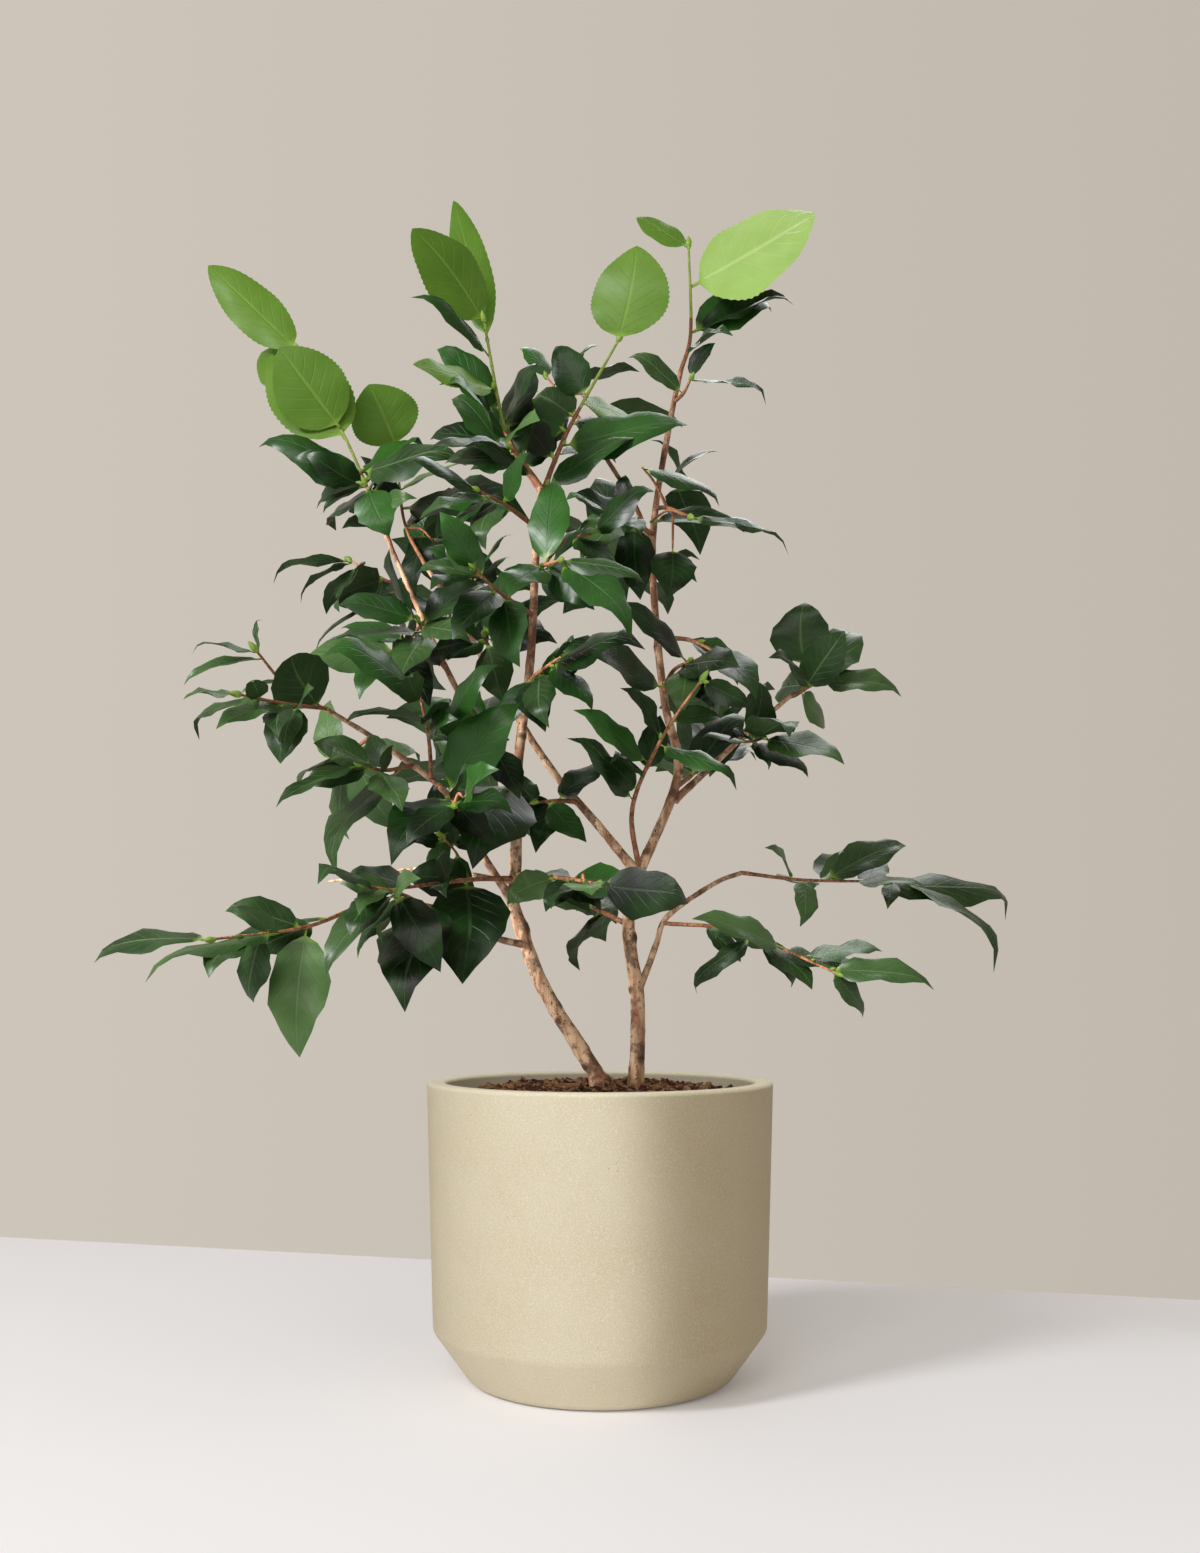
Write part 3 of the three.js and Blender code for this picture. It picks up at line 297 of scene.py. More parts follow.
         tips=[[89, 207, 518], [126, 166, 503], [37, 262, 578], [163, 262, 569], [85, 290, 622]]),
    dict(name="foliage_back_upper", limb="leader_right", at=0.64, leaf=82, more=3,
         stem=[[25, 117, 641], [0, 208, 692]],
         tips=[[83, 110, 647], [-35, 166, 637], [36, 207, 710], [-51, 248, 704], [0, 262, 759]]),
    dict(name="foliage_back_top_left", limb="bough_upper_left", at=0.67, leaf=79, more=3,
         stem=[[-126, 130, 611], [-143, 208, 666]],
         tips=[[-86, 152, 607], [-183, 207, 647], [-109, 235, 691], [-167, 262, 722]]),
    dict(name="foliage_under_top_right", limb="leader_right", at=0.9, leaf=50, more=0,
         stem=[[63, 2, 743], [68, -8, 750]],
         tips=[[124, -14, 728], [21, 2, 770], [87, -6, 778]],
         own={0: dict(root=1, broad=0.6), 1: dict(root=0.5, broad=0.8), 2: dict(root=1, broad=1)}),
    dict(name="foliage_upper_left_side", limb="bough_upper_left", at=0.94, leaf=58, more=0, lush=[0],
         stem=[[-172, 36, 664], [-181, 24, 682]],
         tips=[[-162, 20, 640], [-218, 20, 661], [-197, 10, 643], [-140, 16, 668]],
         own={0: dict(root=0.95, broad=1.5), 1: dict(root=1, broad=0.9), 2: dict(root=0.3, broad=0.8),
              3: dict(root=0.6, broad=0.8)}),
    dict(name="foliage_upper_left_front", limb="bough_upper_left", at=0.62, leaf=66, more=1,
         stem=[[-128, -14, 548], [-132, -44, 560]],
         tips=[[-204, -50, 537], [-191, -40, 572], [-92, -60, 540], [-150, -66, 606], [-82, -40, 586]],
         own={0: dict(root=0.8, broad=1.1), 1: dict(root=1, broad=0.9), 2: dict(root=0.9, broad=1)}),
    dict(name="foliage_cross_middle", limb="bough_cross", at=0.63, leaf=58, more=1,
         stem=[[-84, 22, 550], [-88, 2, 560]],
         tips=[[-32, 0, 553], [-30, 10, 588], [-72, -10, 506], [-116, 0, 540], [-62, -4, 612]],
         own={0: dict(root=0.9, broad=0.9), 1: dict(root=1, broad=0.9), 2: dict(root=0.8, broad=1.1)}),
]

# The rule that the plant grows by, in mm, radians and shares.
clearance = 0.3
groundLevel = 221.5 + clearance
sleeve = dict(past=1.2, room=1.5)  # the room kept for a limb past its end and round it, in clearances
rootFlare, flareHeight = 0.8, 14
stemRadius, stemToLimb = (2.3, 0.9), 0.8  # of a mass's stem, at most this share of its limb
sideTwigRadius = (1.3, 0.8)
thinSides, stepsPerPlace = 3, 2  # of the stems of the masses
blade = dict(stations=(0.3, 0.68), halfWidths=(0.245, 0.24), stalk=0.8, thickness=2.2, arch=0.07)
freeTest = dict(margin=0.6, start=0.14, twigSteps=4)
outerLeaves = dict(start=0.3, end=0.95, shortest=0.92, longest=1.14, roll=0.35)
seededLeaves = dict(start=0.35, end=0.9, shortest=0.85, longest=1.1, roll=0.5, size=0.9)
twigLeaf = dict(at=0.55, size=0.8, leastTwig=0.4)
youngRoll = 0.3  # young leaves roll less
rollTries = (0, 0.4, -0.4, 0.8, -0.8, 1.2)  # other rolls, where the first has no room
longestReach, twigRise = 1.25, 0.08  # a tip more leaf lengths off than this gets a twig, which arches up
leafSpread, goldenAngle, leafTurns = 0.95, 2.4, 12  # the rule's own leaves turn round their stem
leafDroop = np.array((0, 0, -0.2))
sky, light = np.array((0, 0, 0.55)), np.array((-0.25, -0.85, 0.3))
lightDepth, outwardPull, youngPull = 160, 0.35, 2.2  # the light pulls less on leaves that lie deeper


def mix(a, b, share):
    return a + (b - a) * share


def seededNumbers(seed):  # the same numbers as the solids draw
    state, word = seed, 0xFFFFFFFF

    def draw():
        nonlocal state
        state = (state + 0x6D2B79F5) & word
        t = ((state ^ (state >> 15)) * (state | 1)) & word
        t = ((t + (t ^ (t >> 7)) * (t | 61)) & word) ^ t
        return ((t ^ (t >> 14)) & word) / 4294967296

    return draw


def cross(a, b):
    return np.array((a[1] * b[2] - a[2] * b[1], a[2] * b[0] - a[0] * b[2], a[0] * b[1] - a[1] * b[0]))


def unit(v):
    return v / math.sqrt(v @ v)


def squareTo(v, along):
    return unit(v - along * (v @ along))


def turnedAbout(v, axis, angle):
    c, s = math.cos(angle), math.sin(angle)
    return v * c + cross(axis, v) * s + axis * (axis @ v) * (1 - c)


class SmoothCurve:  # Catmull-Rom through its places
    def __init__(self, places):
        self.places = [np.array(p, float) for p in places]

    def point(self, share):
        p, last = self.places, len(self.places) - 1
        i = min(int(math.floor(last * share)), last - 1)
        w = last * share - i
        before = p[i - 1] if i > 0 else 2 * p[0] - p[1]
        after = p[i + 2] if i + 2 <= last else 2 * p[last] - p[last - 1]
        a, b = p[i], p[i + 1]
        t0, t1 = 0.5 * (b - before), 0.5 * (after - a)
        return a + w * (t0 + w * (-3 * a + 3 * b - 2 * t0 - t1 + w * (2 * a - 2 * b + t0 + t1)))

    def tangent(self, share, step=0.0001):
        return unit(self.point(min(share + step, 1)) - self.point(max(share - step, 0)))

    def length(self, parts=24):
        line = [self.point(i / parts) for i in range(parts + 1)]
        return sum(math.dist(a, b) for a, b in zip(line, line[1:]))


def loft(rings, end=None):  # points and triangles of a closed solid from equal rings
    count = len(rings[0])
    points = [p for ring in rings for p in ring] + ([] if end is None else [end])
    top = (len(rings) - 1) * count
    faces = []
    for i in range(count):
        j = (i + 1) % count
        for low in range(0, top, count):
            high = low + count
            faces += [(low + i, low + j, high + j), (low + i, high + j, high + i)]
        if end is not None:
            faces.append((len(points) - 1, top + i, top + j))
        if i > 0 and j > 0:
            faces.append((0, j, i))
            if end is None:
                faces.append((top, top + i, top + j))
    return points, faces


def taperedTube(curve, radiusAt, sides, steps):
    across = np.array((0.31, 0.95, 0.05))  # any way that no limb runs
    rings = []
    for step in range(steps + 1):
        share = step / steps
        along, middle, radius = curve.tangent(share), curve.point(share), radiusAt(share)
        across = squareTo(across, along)
        third = cross(along, across)
        angles = [2 * math.pi * side / sides for side in range(sides)]
        rings.append([middle + across * (radius * math.cos(a)) + third * (radius * math.sin(a))
                      for a in angles])
    return loft(rings)


def section(middle, along, facing, width, keel):
    up = squareTo(facing, along)
    side = cross(up, along)
    return [middle + side * width, middle - side * width, middle - up * keel]


def leafBody(root, tip, facing, broad, extra=0, twig=None):  # the plain leaf that room is tested with
    length, along = math.dist(root, tip), unit(tip - root)
    up = squareTo(facing, along)
    rings = [section(root, along, up, blade["stalk"] + extra, blade["stalk"] + extra)]
    if twig:
        rings = []
        for share in (0, 0.5, 1):
            radius = mix(*sideTwigRadius, share)
            rings.append(section(twig.point(share), twig.tangent(share), up, radius, radius))
    for share, half in zip(blade["stations"], blade["halfWidths"]):
        rise = blade["arch"] * length * 4 * share * (1 - share) + extra
        rings.append(section(mix(root, tip, share) + up * rise, along, up, half * broad * length + extra,
                             blade["thickness"] + 2 * extra))
    return loft(rings, tip)


placed = []  # what already holds a place: lowest corner, highest corner, surface tree, owner


def asTree(body):
    points, faces = body
    spread = np.array(points)
    return spread.min(0), spread.max(0), BVHTree.FromPolygons(spread.tolist(), faces, all_triangles=True)


def hold(body, owner):
    placed.append((*asTree(body), owner))


def isFree(body, owner):
    low, high, tree = asTree(body)
    for otherLow, otherHigh, other, holder in placed:
        near = holder != owner and (otherLow <= high).all() and (low <= otherHigh).all()
        if near and other.overlap(tree):
            return False
    return True


def startLimb(spec):
    curve, (low, high) = SmoothCurve(spec["route"]), spec["radii"]
    isStem = spec["route"][0][2] < groundLevel

    def radiusAt(share):
        height = max(curve.point(share)[2] - groundLevel, 0)
        return mix(low, high, share) + (rootFlare * math.exp(-height / flareHeight) if isStem else 0)

    end = curve.places[-1] + curve.tangent(1) * clearance * sleeve["past"]
    longer, room = SmoothCurve(spec["route"][:-1] + [end]), clearance * sleeve["room"]
    kept = taperedTube(longer, lambda share: radiusAt(share) + room, spec["sides"], spec["steps"])
    hold(kept, spec["name"])
    return dict(spec, curve=curve, radiusAt=radiusAt)


def startMass(spec, index):
    limb = limbOf[spec["limb"]]
    curve = SmoothCurve([limb["curve"].point(spec["at"]), *spec["stem"]])
    rootRadius = min(stemRadius[0], limb["radiusAt"](spec["at"]) * stemToLimb)
    steps = stepsPerPlace * len(spec["stem"])
    stem = taperedTube(curve, lambda share: mix(rootRadius, stemRadius[1], share), thinSides, steps)
    hold(stem, spec["name"])
    return dict(spec, curve=curve, rootRadius=rootRadius, random=seededNumbers(index + 1), twigs=[])


def facingAt(place, along, roll, young):
    outward = unit(np.array((place[0], place[1], 0)))
    pull = youngPull if young else min(max(1 - place[1] / lightDepth, 0), 1)
    return turnedAbout(squareTo(sky + light * pull + outward * outwardPull, along), along, roll)


leaves = []  # every leaf of the plant


def addLeaf(mass, root, tip, roll, broad, twig=None, margin=freeTest["margin"]):
    along = unit(tip - root)
    facing = facingAt(mix(root, tip, 0.5), along, roll, "young" in mass)
    if not isFree(leafBody(mix(root, tip, freeTest["start"]), tip, facing, broad, margin), mass["name"]):
        return False
    hold(leafBody(root, tip, facing, broad, 0, twig), "")
    leaves.append(dict(root=root, tip=tip, facing=facing, broad=broad, mass=mass, bright=False))
    return True


def growToTip(mass, tip, share, order):
    own, random = mass.get("own", {}).get(order, {}), mass["random"]
    root, broad = own.get("root"), own.get("broad", mass.get("broad", 1))
    onStem = isinstance(root, (int, float))
    base = mass["curve"].point(root if onStem else share)
    distance = math.dist(base, tip)
    length = mass["leaf"] * mix(outerLeaves["shortest"], outerLeaves["longest"], random())
    roll = mix(-outerLeaves["roll"], outerLeaves["roll"], random()) * (youngRoll if "young" in mass else 1)
    bright = order in mass.get("young", ())
    if onStem or (root is None and distance < length * longestReach):
        if any(addLeaf(mass, base, tip, roll + turn, broad) for turn in rollTries):
            leaves[-1].update(bright=bright, order=order)
        return
    knee = mix(base, tip, 1 - length / distance) if root is None else np.array(root, float)
    twig = SmoothCurve([base, mix(base, knee, 0.5) + np.array((0, 0, twigRise * distance)), knee])
    room = sideTwigRadius[0] + freeTest["margin"]
    tube = taperedTube(twig, lambda share: room, thinSides, freeTest["twigSteps"])
    if not isFree(tube, mass["name"]):
        return
    if any(addLeaf(mass, knee, tip, roll + turn, broad, twig) for turn in rollTries):
        leaves[-1].update(bright=bright, order=order)
        mass["twigs"].append(twig)
        if distance - length > twigLeaf["leastTwig"] * length:
            growSeeded(mass, twig, twigLeaf["at"], twigLeaf["size"])


def growSeeded(mass, curve, share, size):
    base, along, random = curve.point(share), curve.tangent(share), mass["random"]
    length = mass["leaf"] * size * mix(seededLeaves["shortest"], seededLeaves["longest"], random())
    first = 2 * math.pi * random()
    roll = mix(-seededLeaves["roll"], seededLeaves["roll"], random())
    for turn in range(leafTurns):
        across = turnedAbout(squareTo(sky, along), along, first + goldenAngle * turn)
        way = unit(along * math.cos(leafSpread) + across * math.sin(leafSpread) + leafDroop)
        if addLeaf(mass, base, base + way * length, roll, mass.get("broad", 1)):
            leaves[-1].update(bright=curve is mass["curve"] and share > mass.get("shoot", 1))
            return


limbOf = {}
for spec in limbs:
    limbOf[spec["name"]] = startLimb(spec)
grown = [startMass(spec, index) for index, spec in enumerate(masses)]
for first in (True, False):  # outer leaves with a root of their own come first
    for mass in grown:
        count = len(mass["tips"])
        for order, tip in enumerate(mass["tips"]):
            if (order in mass.get("own", {})) == first:
                share = mix(outerLeaves["start"], outerLeaves["end"], (order + 1) / count)
                growToTip(mass, np.array(tip, float), share, order)
for mass in grown:
    for i in range(mass["more"]):
        share = mix(seededLeaves["start"], seededLeaves["end"], (i + mass["random"]()) / mass["more"])
        growSeeded(mass, mass["curve"], share, seededLeaves["size"])
say(f"{len(leaves)} leaves set by the rule of the solids")


def linked(name, mesh):
    piece = bpy.data.objects.new(name, mesh)
    bpy.context.scene.collection.objects.link(piece)
    return piece


def meshOf(name, points, faces, smooth=True, edges=()):
    mesh = bpy.data.meshes.new(name)
    mesh.from_pydata([tuple(p) for p in points], edges, faces)
    mesh.shade_smooth() if smooth else mesh.shade_flat()
    return mesh


def addNode(tree, kind, sockets=None, **settings):
    made = tree.nodes.new(kind)
    for key, value in settings.items():
        setattr(made, key, value)
    for key, value in (sockets or {}).items():
        if isinstance(value, bpy.types.NodeSocket):
            tree.links.new(value, made.inputs[key])
        else:
            made.inputs[key].default_value = value
    return made


def newTree(name, **inputs):  # each input is its socket kind and value
    tree = bpy.data.node_groups.new(name, "GeometryNodeTree")
    tree.interface.new_socket("Geometry", in_out="INPUT", socket_type="NodeSocketGeometry")
    for key, (kind, value) in inputs.items():
        socket = tree.interface.new_socket(key, in_out="INPUT", socket_type="NodeSocket" + kind)
        if value is not None:
            socket.default_value = value
    tree.interface.new_socket("Geometry", in_out="OUTPUT", socket_type="NodeSocketGeometry")
    return tree, tree.nodes.new("NodeGroupInput").outputs, tree.nodes.new("NodeGroupOutput").inputs[0]


def attribute(tree, name, kind="FLOAT"):
    made = addNode(tree, "GeometryNodeInputNamedAttribute", {"Name": name}, data_type=kind)
    return made.outputs["Attribute"]


def mathNode(tree, operation, a, b=0.0, c=0.0):
    return addNode(tree, "ShaderNodeMath", {0: a, 1: b, 2: c}, operation=operation).outputs[0]


def grownMesh(name, source, tree, **values):  # the tree's result on "source", as a plain object
    modifier = source.modifiers.new(tree.name, "NODES")
    modifier.node_group = tree
    sockets = {item.name: item.identifier for item in tree.interface.items_tree if item.in_out == "INPUT"}
    for key, value in values.items():
        modifier[sockets[key]] = value
    graph = bpy.context.evaluated_depsgraph_get()
    mesh = bpy.data.meshes.new_from_object(source.evaluated_get(graph), depsgraph=graph)
    mesh.name = name
    bpy.data.objects.remove(source)
    return linked(name, mesh)


def finish(piece, slot, *nodes):
    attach(piece, "root")
    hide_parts(*nodes)
    say(f"{piece.name}: {len(piece.data.polygons)} faces")


def newMaterial(name, roughness, **settings):  # a principled material: its node tree and shader
    material = bpy.data.materials.new(name)
    material.use_nodes = True
    tree = material.node_tree
    shader = tree.nodes["Principled BSDF"]
    shader.inputs["Roughness"].default_value = roughness
    for key, value in settings.items():
        shader.inputs[key].default_value = value
    return material, tree, shader


def noiseNode(tree, place, scale, detail=3.0, roughness=0.5):
    sockets = {"Vector": place, "Scale": scale, "Detail": detail, "Roughness": roughness}
    return addNode(tree, "ShaderNodeTexNoise", sockets).outputs["Fac"]


def rampNode(tree, share, first, last):  # each end is a place and a colour
    ramp = addNode(tree, "ShaderNodeValToRGB", {"Fac": share})
    for element, (place, colour) in zip(ramp.color_ramp.elements, (first, last)):
        element.position, element.color = place, (*colour, 1)
    return ramp.outputs["Color"]


def mixNode(tree, share, a, b):  # of two colours
    made = addNode(tree, "ShaderNodeMix", data_type="RGBA")
    for index, value in ((0, share), (6, a), (7, b)):
        if isinstance(value, bpy.types.NodeSocket):
            tree.links.new(value, made.inputs[index])
        else:
            made.inputs[index].default_value = value if index == 0 else (*value, 1)
    return made.outputs[2]


def rangeNode(tree, value, low, high, toLow=0.0, toHigh=1.0):
    sockets = {"Value": value, "From Min": low, "From Max": high, "To Min": toLow, "To Max": toHigh}
    return addNode(tree, "ShaderNodeMapRange", sockets).outputs["Result"]


def bumpNode(tree, height, strength, distance):
    sockets = {"Height": height, "Strength": strength, "Distance": distance}
    return addNode(tree, "ShaderNodeBump", sockets).outputs["Normal"]


def objectPlace(tree, scale=None):
    place = tree.nodes.new("ShaderNodeTexCoord").outputs["Object"]
    if scale:
        place = addNode(tree, "ShaderNodeMapping", {"Vector": place, "Scale": scale}).outputs[0]
    return place


def hexColour(text):  # linear colour of an sRGB hex code
    parts = [int(text[i:i + 2], 16) / 255 for i in (0, 2, 4)]
    return tuple(p / 12.92 if p <= 0.04045 else ((p + 0.055) / 1.055) ** 2.4 for p in parts)


planter = dict(  # sizes in mm, then what the surface is made of, with painted shade in its pits, as noise scales per metre
    segments=160, height=223, rimRadius=130, wall=14, shoulderRadius=125.5, shoulderHeight=39,
    footRadius=98, floor=16, rimRound=3, shoulderRound=9, footRound=14, footSteps=8, edgeSteps=5,
    insideSteps=3, underRing=0.5, floorRing=0.4, wallRings=(0.25, 0.5, 0.75),
    # the pit colour is painted shade in the small pits
    colour="b2a589", shade="ab9d7e", fleck="c5b8a0", shadedPit="68553b", roughness=0.72, shine=0.35,
    clouds=14, flecks=1500, grain=2600, pits=260, pitPatches=60, relief=0.24, reliefDepth=0.0005)


def rounded(before, corner, after, radius, parts):  # a corner of a profile, turned in a few steps
    before, corner, after = np.array(before), np.array(corner), np.array(after)
    back, on = unit(before - corner), unit(after - corner)
    half = math.acos(max(-1, min(1, back @ on))) / 2
    reach = radius / math.tan(half)
    first, last = corner + back * reach, corner + on * reach
    middle = corner + unit(back + on) * radius / math.sin(half)
    steps = []
    for i in range(parts + 1):
        chord = mix(first, last, i / parts) - middle
        steps.append(middle + unit(chord) * radius)
    return steps


def turnedBody(profile, segments):  # a closed body, from a profile that starts and ends on the axis
    inner = profile[1:-1]
    points = [(0, 0, profile[0][1])]
    for r, z in inner:
        for k in range(segments):
            angle = 2 * math.pi * k / segments
            points.append((r * math.cos(angle), r * math.sin(angle), z))
    points.append((0, 0, profile[-1][1]))
    faces, last = [], len(points) - 1
    for k in range(segments):
        n = (k + 1) % segments
        faces.append((0, 1 + n, 1 + k))
        for row in range(len(inner) - 1):
            a, b = 1 + row * segments, 1 + (row + 1) * segments
            faces.append((a + k, a + n, b + n, b + k))
        top = 1 + (len(inner) - 1) * segments
        faces.append((top + k, top + n, last))
    return [np.array(p) * metre for p in points], faces


def planterProfile(p=planter):
    inner, innerShoulder = p["rimRadius"] - p["wall"], p["shoulderRadius"] - p["wall"]
    corners = [
        ((p["footRadius"], 0), p["footRound"], p["footSteps"]),
        ((p["shoulderRadius"], p["shoulderHeight"]), p["shoulderRound"], p["edgeSteps"]),
        ((p["rimRadius"], p["height"]), p["rimRound"], p["edgeSteps"]),
        ((inner, p["height"]), p["rimRound"], p["edgeSteps"]),
        ((innerShoulder, p["shoulderHeight"]), p["shoulderRound"], p["insideSteps"]),
        ((p["footRadius"] - p["wall"], p["floor"]), p["shoulderRound"], p["insideSteps"])]
    line = [(0, 0)] + [corner for corner, _, _ in corners] + [(0, p["floor"])]
    profile = [(0, 0), (p["footRadius"] * p["underRing"], 0)]
    for i, (corner, radius, parts) in enumerate(corners):
        profile += [tuple(q) for q in rounded(line[i], corner, line[i + 2], radius, parts)]
        if i == 1:  # past the shoulder, up the outer wall
            profile += [(mix(p["shoulderRadius"], p["rimRadius"], share),
                         mix(p["shoulderHeight"], p["height"], share)) for share in p["wallRings"]]
    return profile + [(p["footRadius"] * p["floorRing"], p["floor"]), (0, p["floor"])]


def planterMaterial(p=planter):
    material, tree, shader = newMaterial("castStone", p["roughness"], **{"Specular IOR Level": p["shine"]})
    place = objectPlace(tree)
    cloud = rangeNode(tree, noiseNode(tree, place, p["clouds"], 5, 0.6), 0.3, 0.7)
    colour = mixNode(tree, cloud, hexColour(p["colour"]), hexColour(p["shade"]))
    fleck = rangeNode(tree, noiseNode(tree, place, p["flecks"], 2), 0.5, 0.66, 0, 0.8)
    colour = mixNode(tree, fleck, colour, hexColour(p["fleck"]))
    cells = addNode(tree, "ShaderNodeTexVoronoi", {"Vector": place, "Scale": p["pits"]})
    few = rangeNode(tree, noiseNode(tree, place, p["pitPatches"], 2), 0.62, 0.66)
    # Pits: the bump dents them a little, and their dark colour is painted shade in the hollows.
    shadedPit = mathNode(tree, "MULTIPLY", rangeNode(tree, cells.outputs["Distance"], 0.07, 0.13, 0.8, 0), few)
    tree.links.new(mixNode(tree, shadedPit, colour, hexColour(p["shadedPit"])), shader.inputs["Base Color"])
    grain = noiseNode(tree, place, p["grain"], 3, 0.6)
    height = mathNode(tree, "SUBTRACT", grain, shadedPit)
    tree.links.new(bumpNode(tree, height, p["relief"], p["reliefDepth"]), shader.inputs["Normal"])
    return material


planterMesh = meshOf("planterShell", *turnedBody(planterProfile(), planter["segments"]))
planterMesh.materials.append(planterMaterial())
planterShell = linked("planterShell", planterMesh)
finish(planterShell, "planter", "planter")


# The compost is a domed bed with chips of bark on it.
compost = dict(rings=44, segments=96, radius=115.2, top=219.6, edge=209.5, flat=52, fall=1.6, bottom=196,
               bottomInset=3, lumps=140, crumbs=420, crumbShare=0.7, rough=2.2, calm=0.7,
               colours=("33221a", "5c4032"), density=26000, chipSeed=11)
crumbLook = dict(roughness=0.92, shine=0.2, grain=700, relief=0.8, reliefDepth=0.0015)
chipLook = dict(shapes=6, length=9.5, width=5.2, thick=2.4, seed=5, widths=(0.6, 1, 0.95, 0.5),
                vary=(0.75, 1.1), sizes=(0.6, 1.3), jitter=0.14,
                outline=((1, -0.7), (0.7, 0.8), (-0.7, 0.9), (-1, -0.6), (0, -1)),
                upward=0.75, tilt=0.55, turn=6.283, scale=(0.45, 1.35), turnSeed=3, sizeSeed=4, toneSeed=6)
chipTones = ("22150e", "6b4534", "c4966f")


def compostMaterial(name, colour, second, look=crumbLook):
    material, tree, shader = newMaterial(name, look["roughness"], **{"Specular IOR Level": look["shine"]})
    grain = noiseNode(tree, objectPlace(tree), look["grain"], 4, 0.7)
    shade = rangeNode(tree, grain, 0.35, 0.65)
    tree.links.new(mixNode(tree, shade, hexColour(colour), hexColour(second)), shader.inputs["Base Color"])
    tree.links.new(bumpNode(tree, grain, look["relief"], look["reliefDepth"]), shader.inputs["Normal"])
    return material


def compostBed(c=compost):
    profile = [(0, c["bottom"]), (c["radius"] - c["bottomInset"], c["bottom"]), (c["radius"], c["edge"])]
    for ring in range(1, c["rings"]):
        r = c["radius"] * (1 - ring / c["rings"])
        slope = min(max((r - c["flat"]) / (c["radius"] - c["flat"]), 0), 1)
        profile.append((r, mix(c["top"], c["edge"], slope ** c["fall"])))
    points, faces = turnedBody(profile + [(0, c["top"])], c["segments"])
    for p in points[1 + 2 * c["segments"]:]:
        lift = noise.noise(Vector(p) * c["lumps"]) + c["crumbShare"] * noise.noise(Vector(p) * c["crumbs"])
        p[2] += lift * c["rough"] * metre * c["calm"]
    mesh = meshOf("compostBed", points, faces)
    mesh.materials.append(compostMaterial("compostCrumb", *c["colours"]))
    return linked("compostBed", mesh)


def chipShapes(c=chipLook):  # a few rough splinters of bark
    random, shapes = np.random.RandomState(c["seed"]), bpy.data.collections.new("chipShapes")
    for i in range(c["shapes"]):
        rings = []
        size = np.array((c["width"], c["length"], c["thick"])) * random.uniform(*c["sizes"], 3) / 2
        for y, share in zip(np.linspace(-1, 1, len(c["widths"])), c["widths"]):
            wide = share * random.uniform(*c["vary"])
            ring = [np.array((x * wide, y, z)) + random.uniform(-c["jitter"], c["jitter"], 3)
                    for x, z in c["outline"]]
            rings.append([p * size * metre for p in ring])
        points, faces = loft(rings)
        mesh = meshOf(f"chip{i}", points, faces, smooth=False)
        shapes.objects.link(bpy.data.objects.new(mesh.name, mesh))
    return shapes


def chipTree(c=chipLook):
    tree, given, result = newTree(
        "barkChips", Density=("Float", 20000), Seed=("Int", 0), Shapes=("Collection", None),
        **{f"Tone {i}": ("Material", None) for i in range(len(chipTones))})
    normal = tree.nodes.new("GeometryNodeInputNormal").outputs[0]
    upward = addNode(tree, "ShaderNodeSeparateXYZ", {0: normal}).outputs["Z"]
    top = mathNode(tree, "GREATER_THAN", upward, c["upward"])
    spread = addNode(tree, "GeometryNodeDistributePointsOnFaces",
                     {"Mesh": given["Geometry"], "Selection": top, "Density": given["Density"],
                      "Seed": given["Seed"]})
    tilt = c["tilt"]
    turn = addNode(tree, "FunctionNodeRandomValue",
                   {0: (-tilt, -tilt, 0), 1: (tilt, tilt, c["turn"]), "Seed": c["turnSeed"]},
                   data_type="FLOAT_VECTOR").outputs[0]
    least, most = c["scale"]
    size = addNode(tree, "FunctionNodeRandomValue", {2: least, 3: most, "Seed": c["sizeSeed"]}).outputs[1]
    tone = addNode(tree, "FunctionNodeRandomValue", {4: 0, 5: len(chipTones) - 1, "Seed": c["toneSeed"]},
                   data_type="INT").outputs[2]
    shapes = addNode(tree, "GeometryNodeCollectionInfo",
                     {"Collection": given["Shapes"], "Separate Children": True, "Reset Children": True})
    chips = addNode(tree, "GeometryNodeInstanceOnPoints",
                    {"Points": spread.outputs["Points"], "Instance": shapes.outputs[0],
                     "Pick Instance": True, "Rotation": turn, "Scale": size})
    toned = addNode(tree, "GeometryNodeStoreNamedAttribute",
                    {"Geometry": chips.outputs[0], "Name": "tone", "Value": tone},
                    data_type="INT", domain="INSTANCE")
    shown = addNode(tree, "GeometryNodeRealizeInstances", {"Geometry": toned.outputs[0]}).outputs[0]
    for i in range(len(chipTones)):
        same = addNode(tree, "FunctionNodeCompare", {2: attribute(tree, "tone", "INT"), 3: i},
                       data_type="INT", operation="EQUAL").outputs[0]
        shown = addNode(tree, "GeometryNodeSetMaterial",
                        {"Geometry": shown, "Selection": same, "Material": given[f"Tone {i}"]}).outputs[0]
    tree.links.new(shown, result)
    return tree


compostPiece = compostBed()
bedCopy = linked("bedCopy", compostPiece.data.copy())
paler = chipTones[1:] + chipTones[:1]  # each chip has flecks of the next tone
chipMaterials = {f"Tone {i}": compostMaterial(f"barkChip{i}", *pair)
                 for i, pair in enumerate(zip(chipTones, paler))}
barkChips = grownMesh("barkChips", bedCopy, chipTree(), Density=compost["density"],
                      Seed=compost["chipSeed"], Shapes=chipShapes(), **chipMaterials)
finish(compostPiece, "compost", "compost")
finish(barkChips, "compost", "compost")


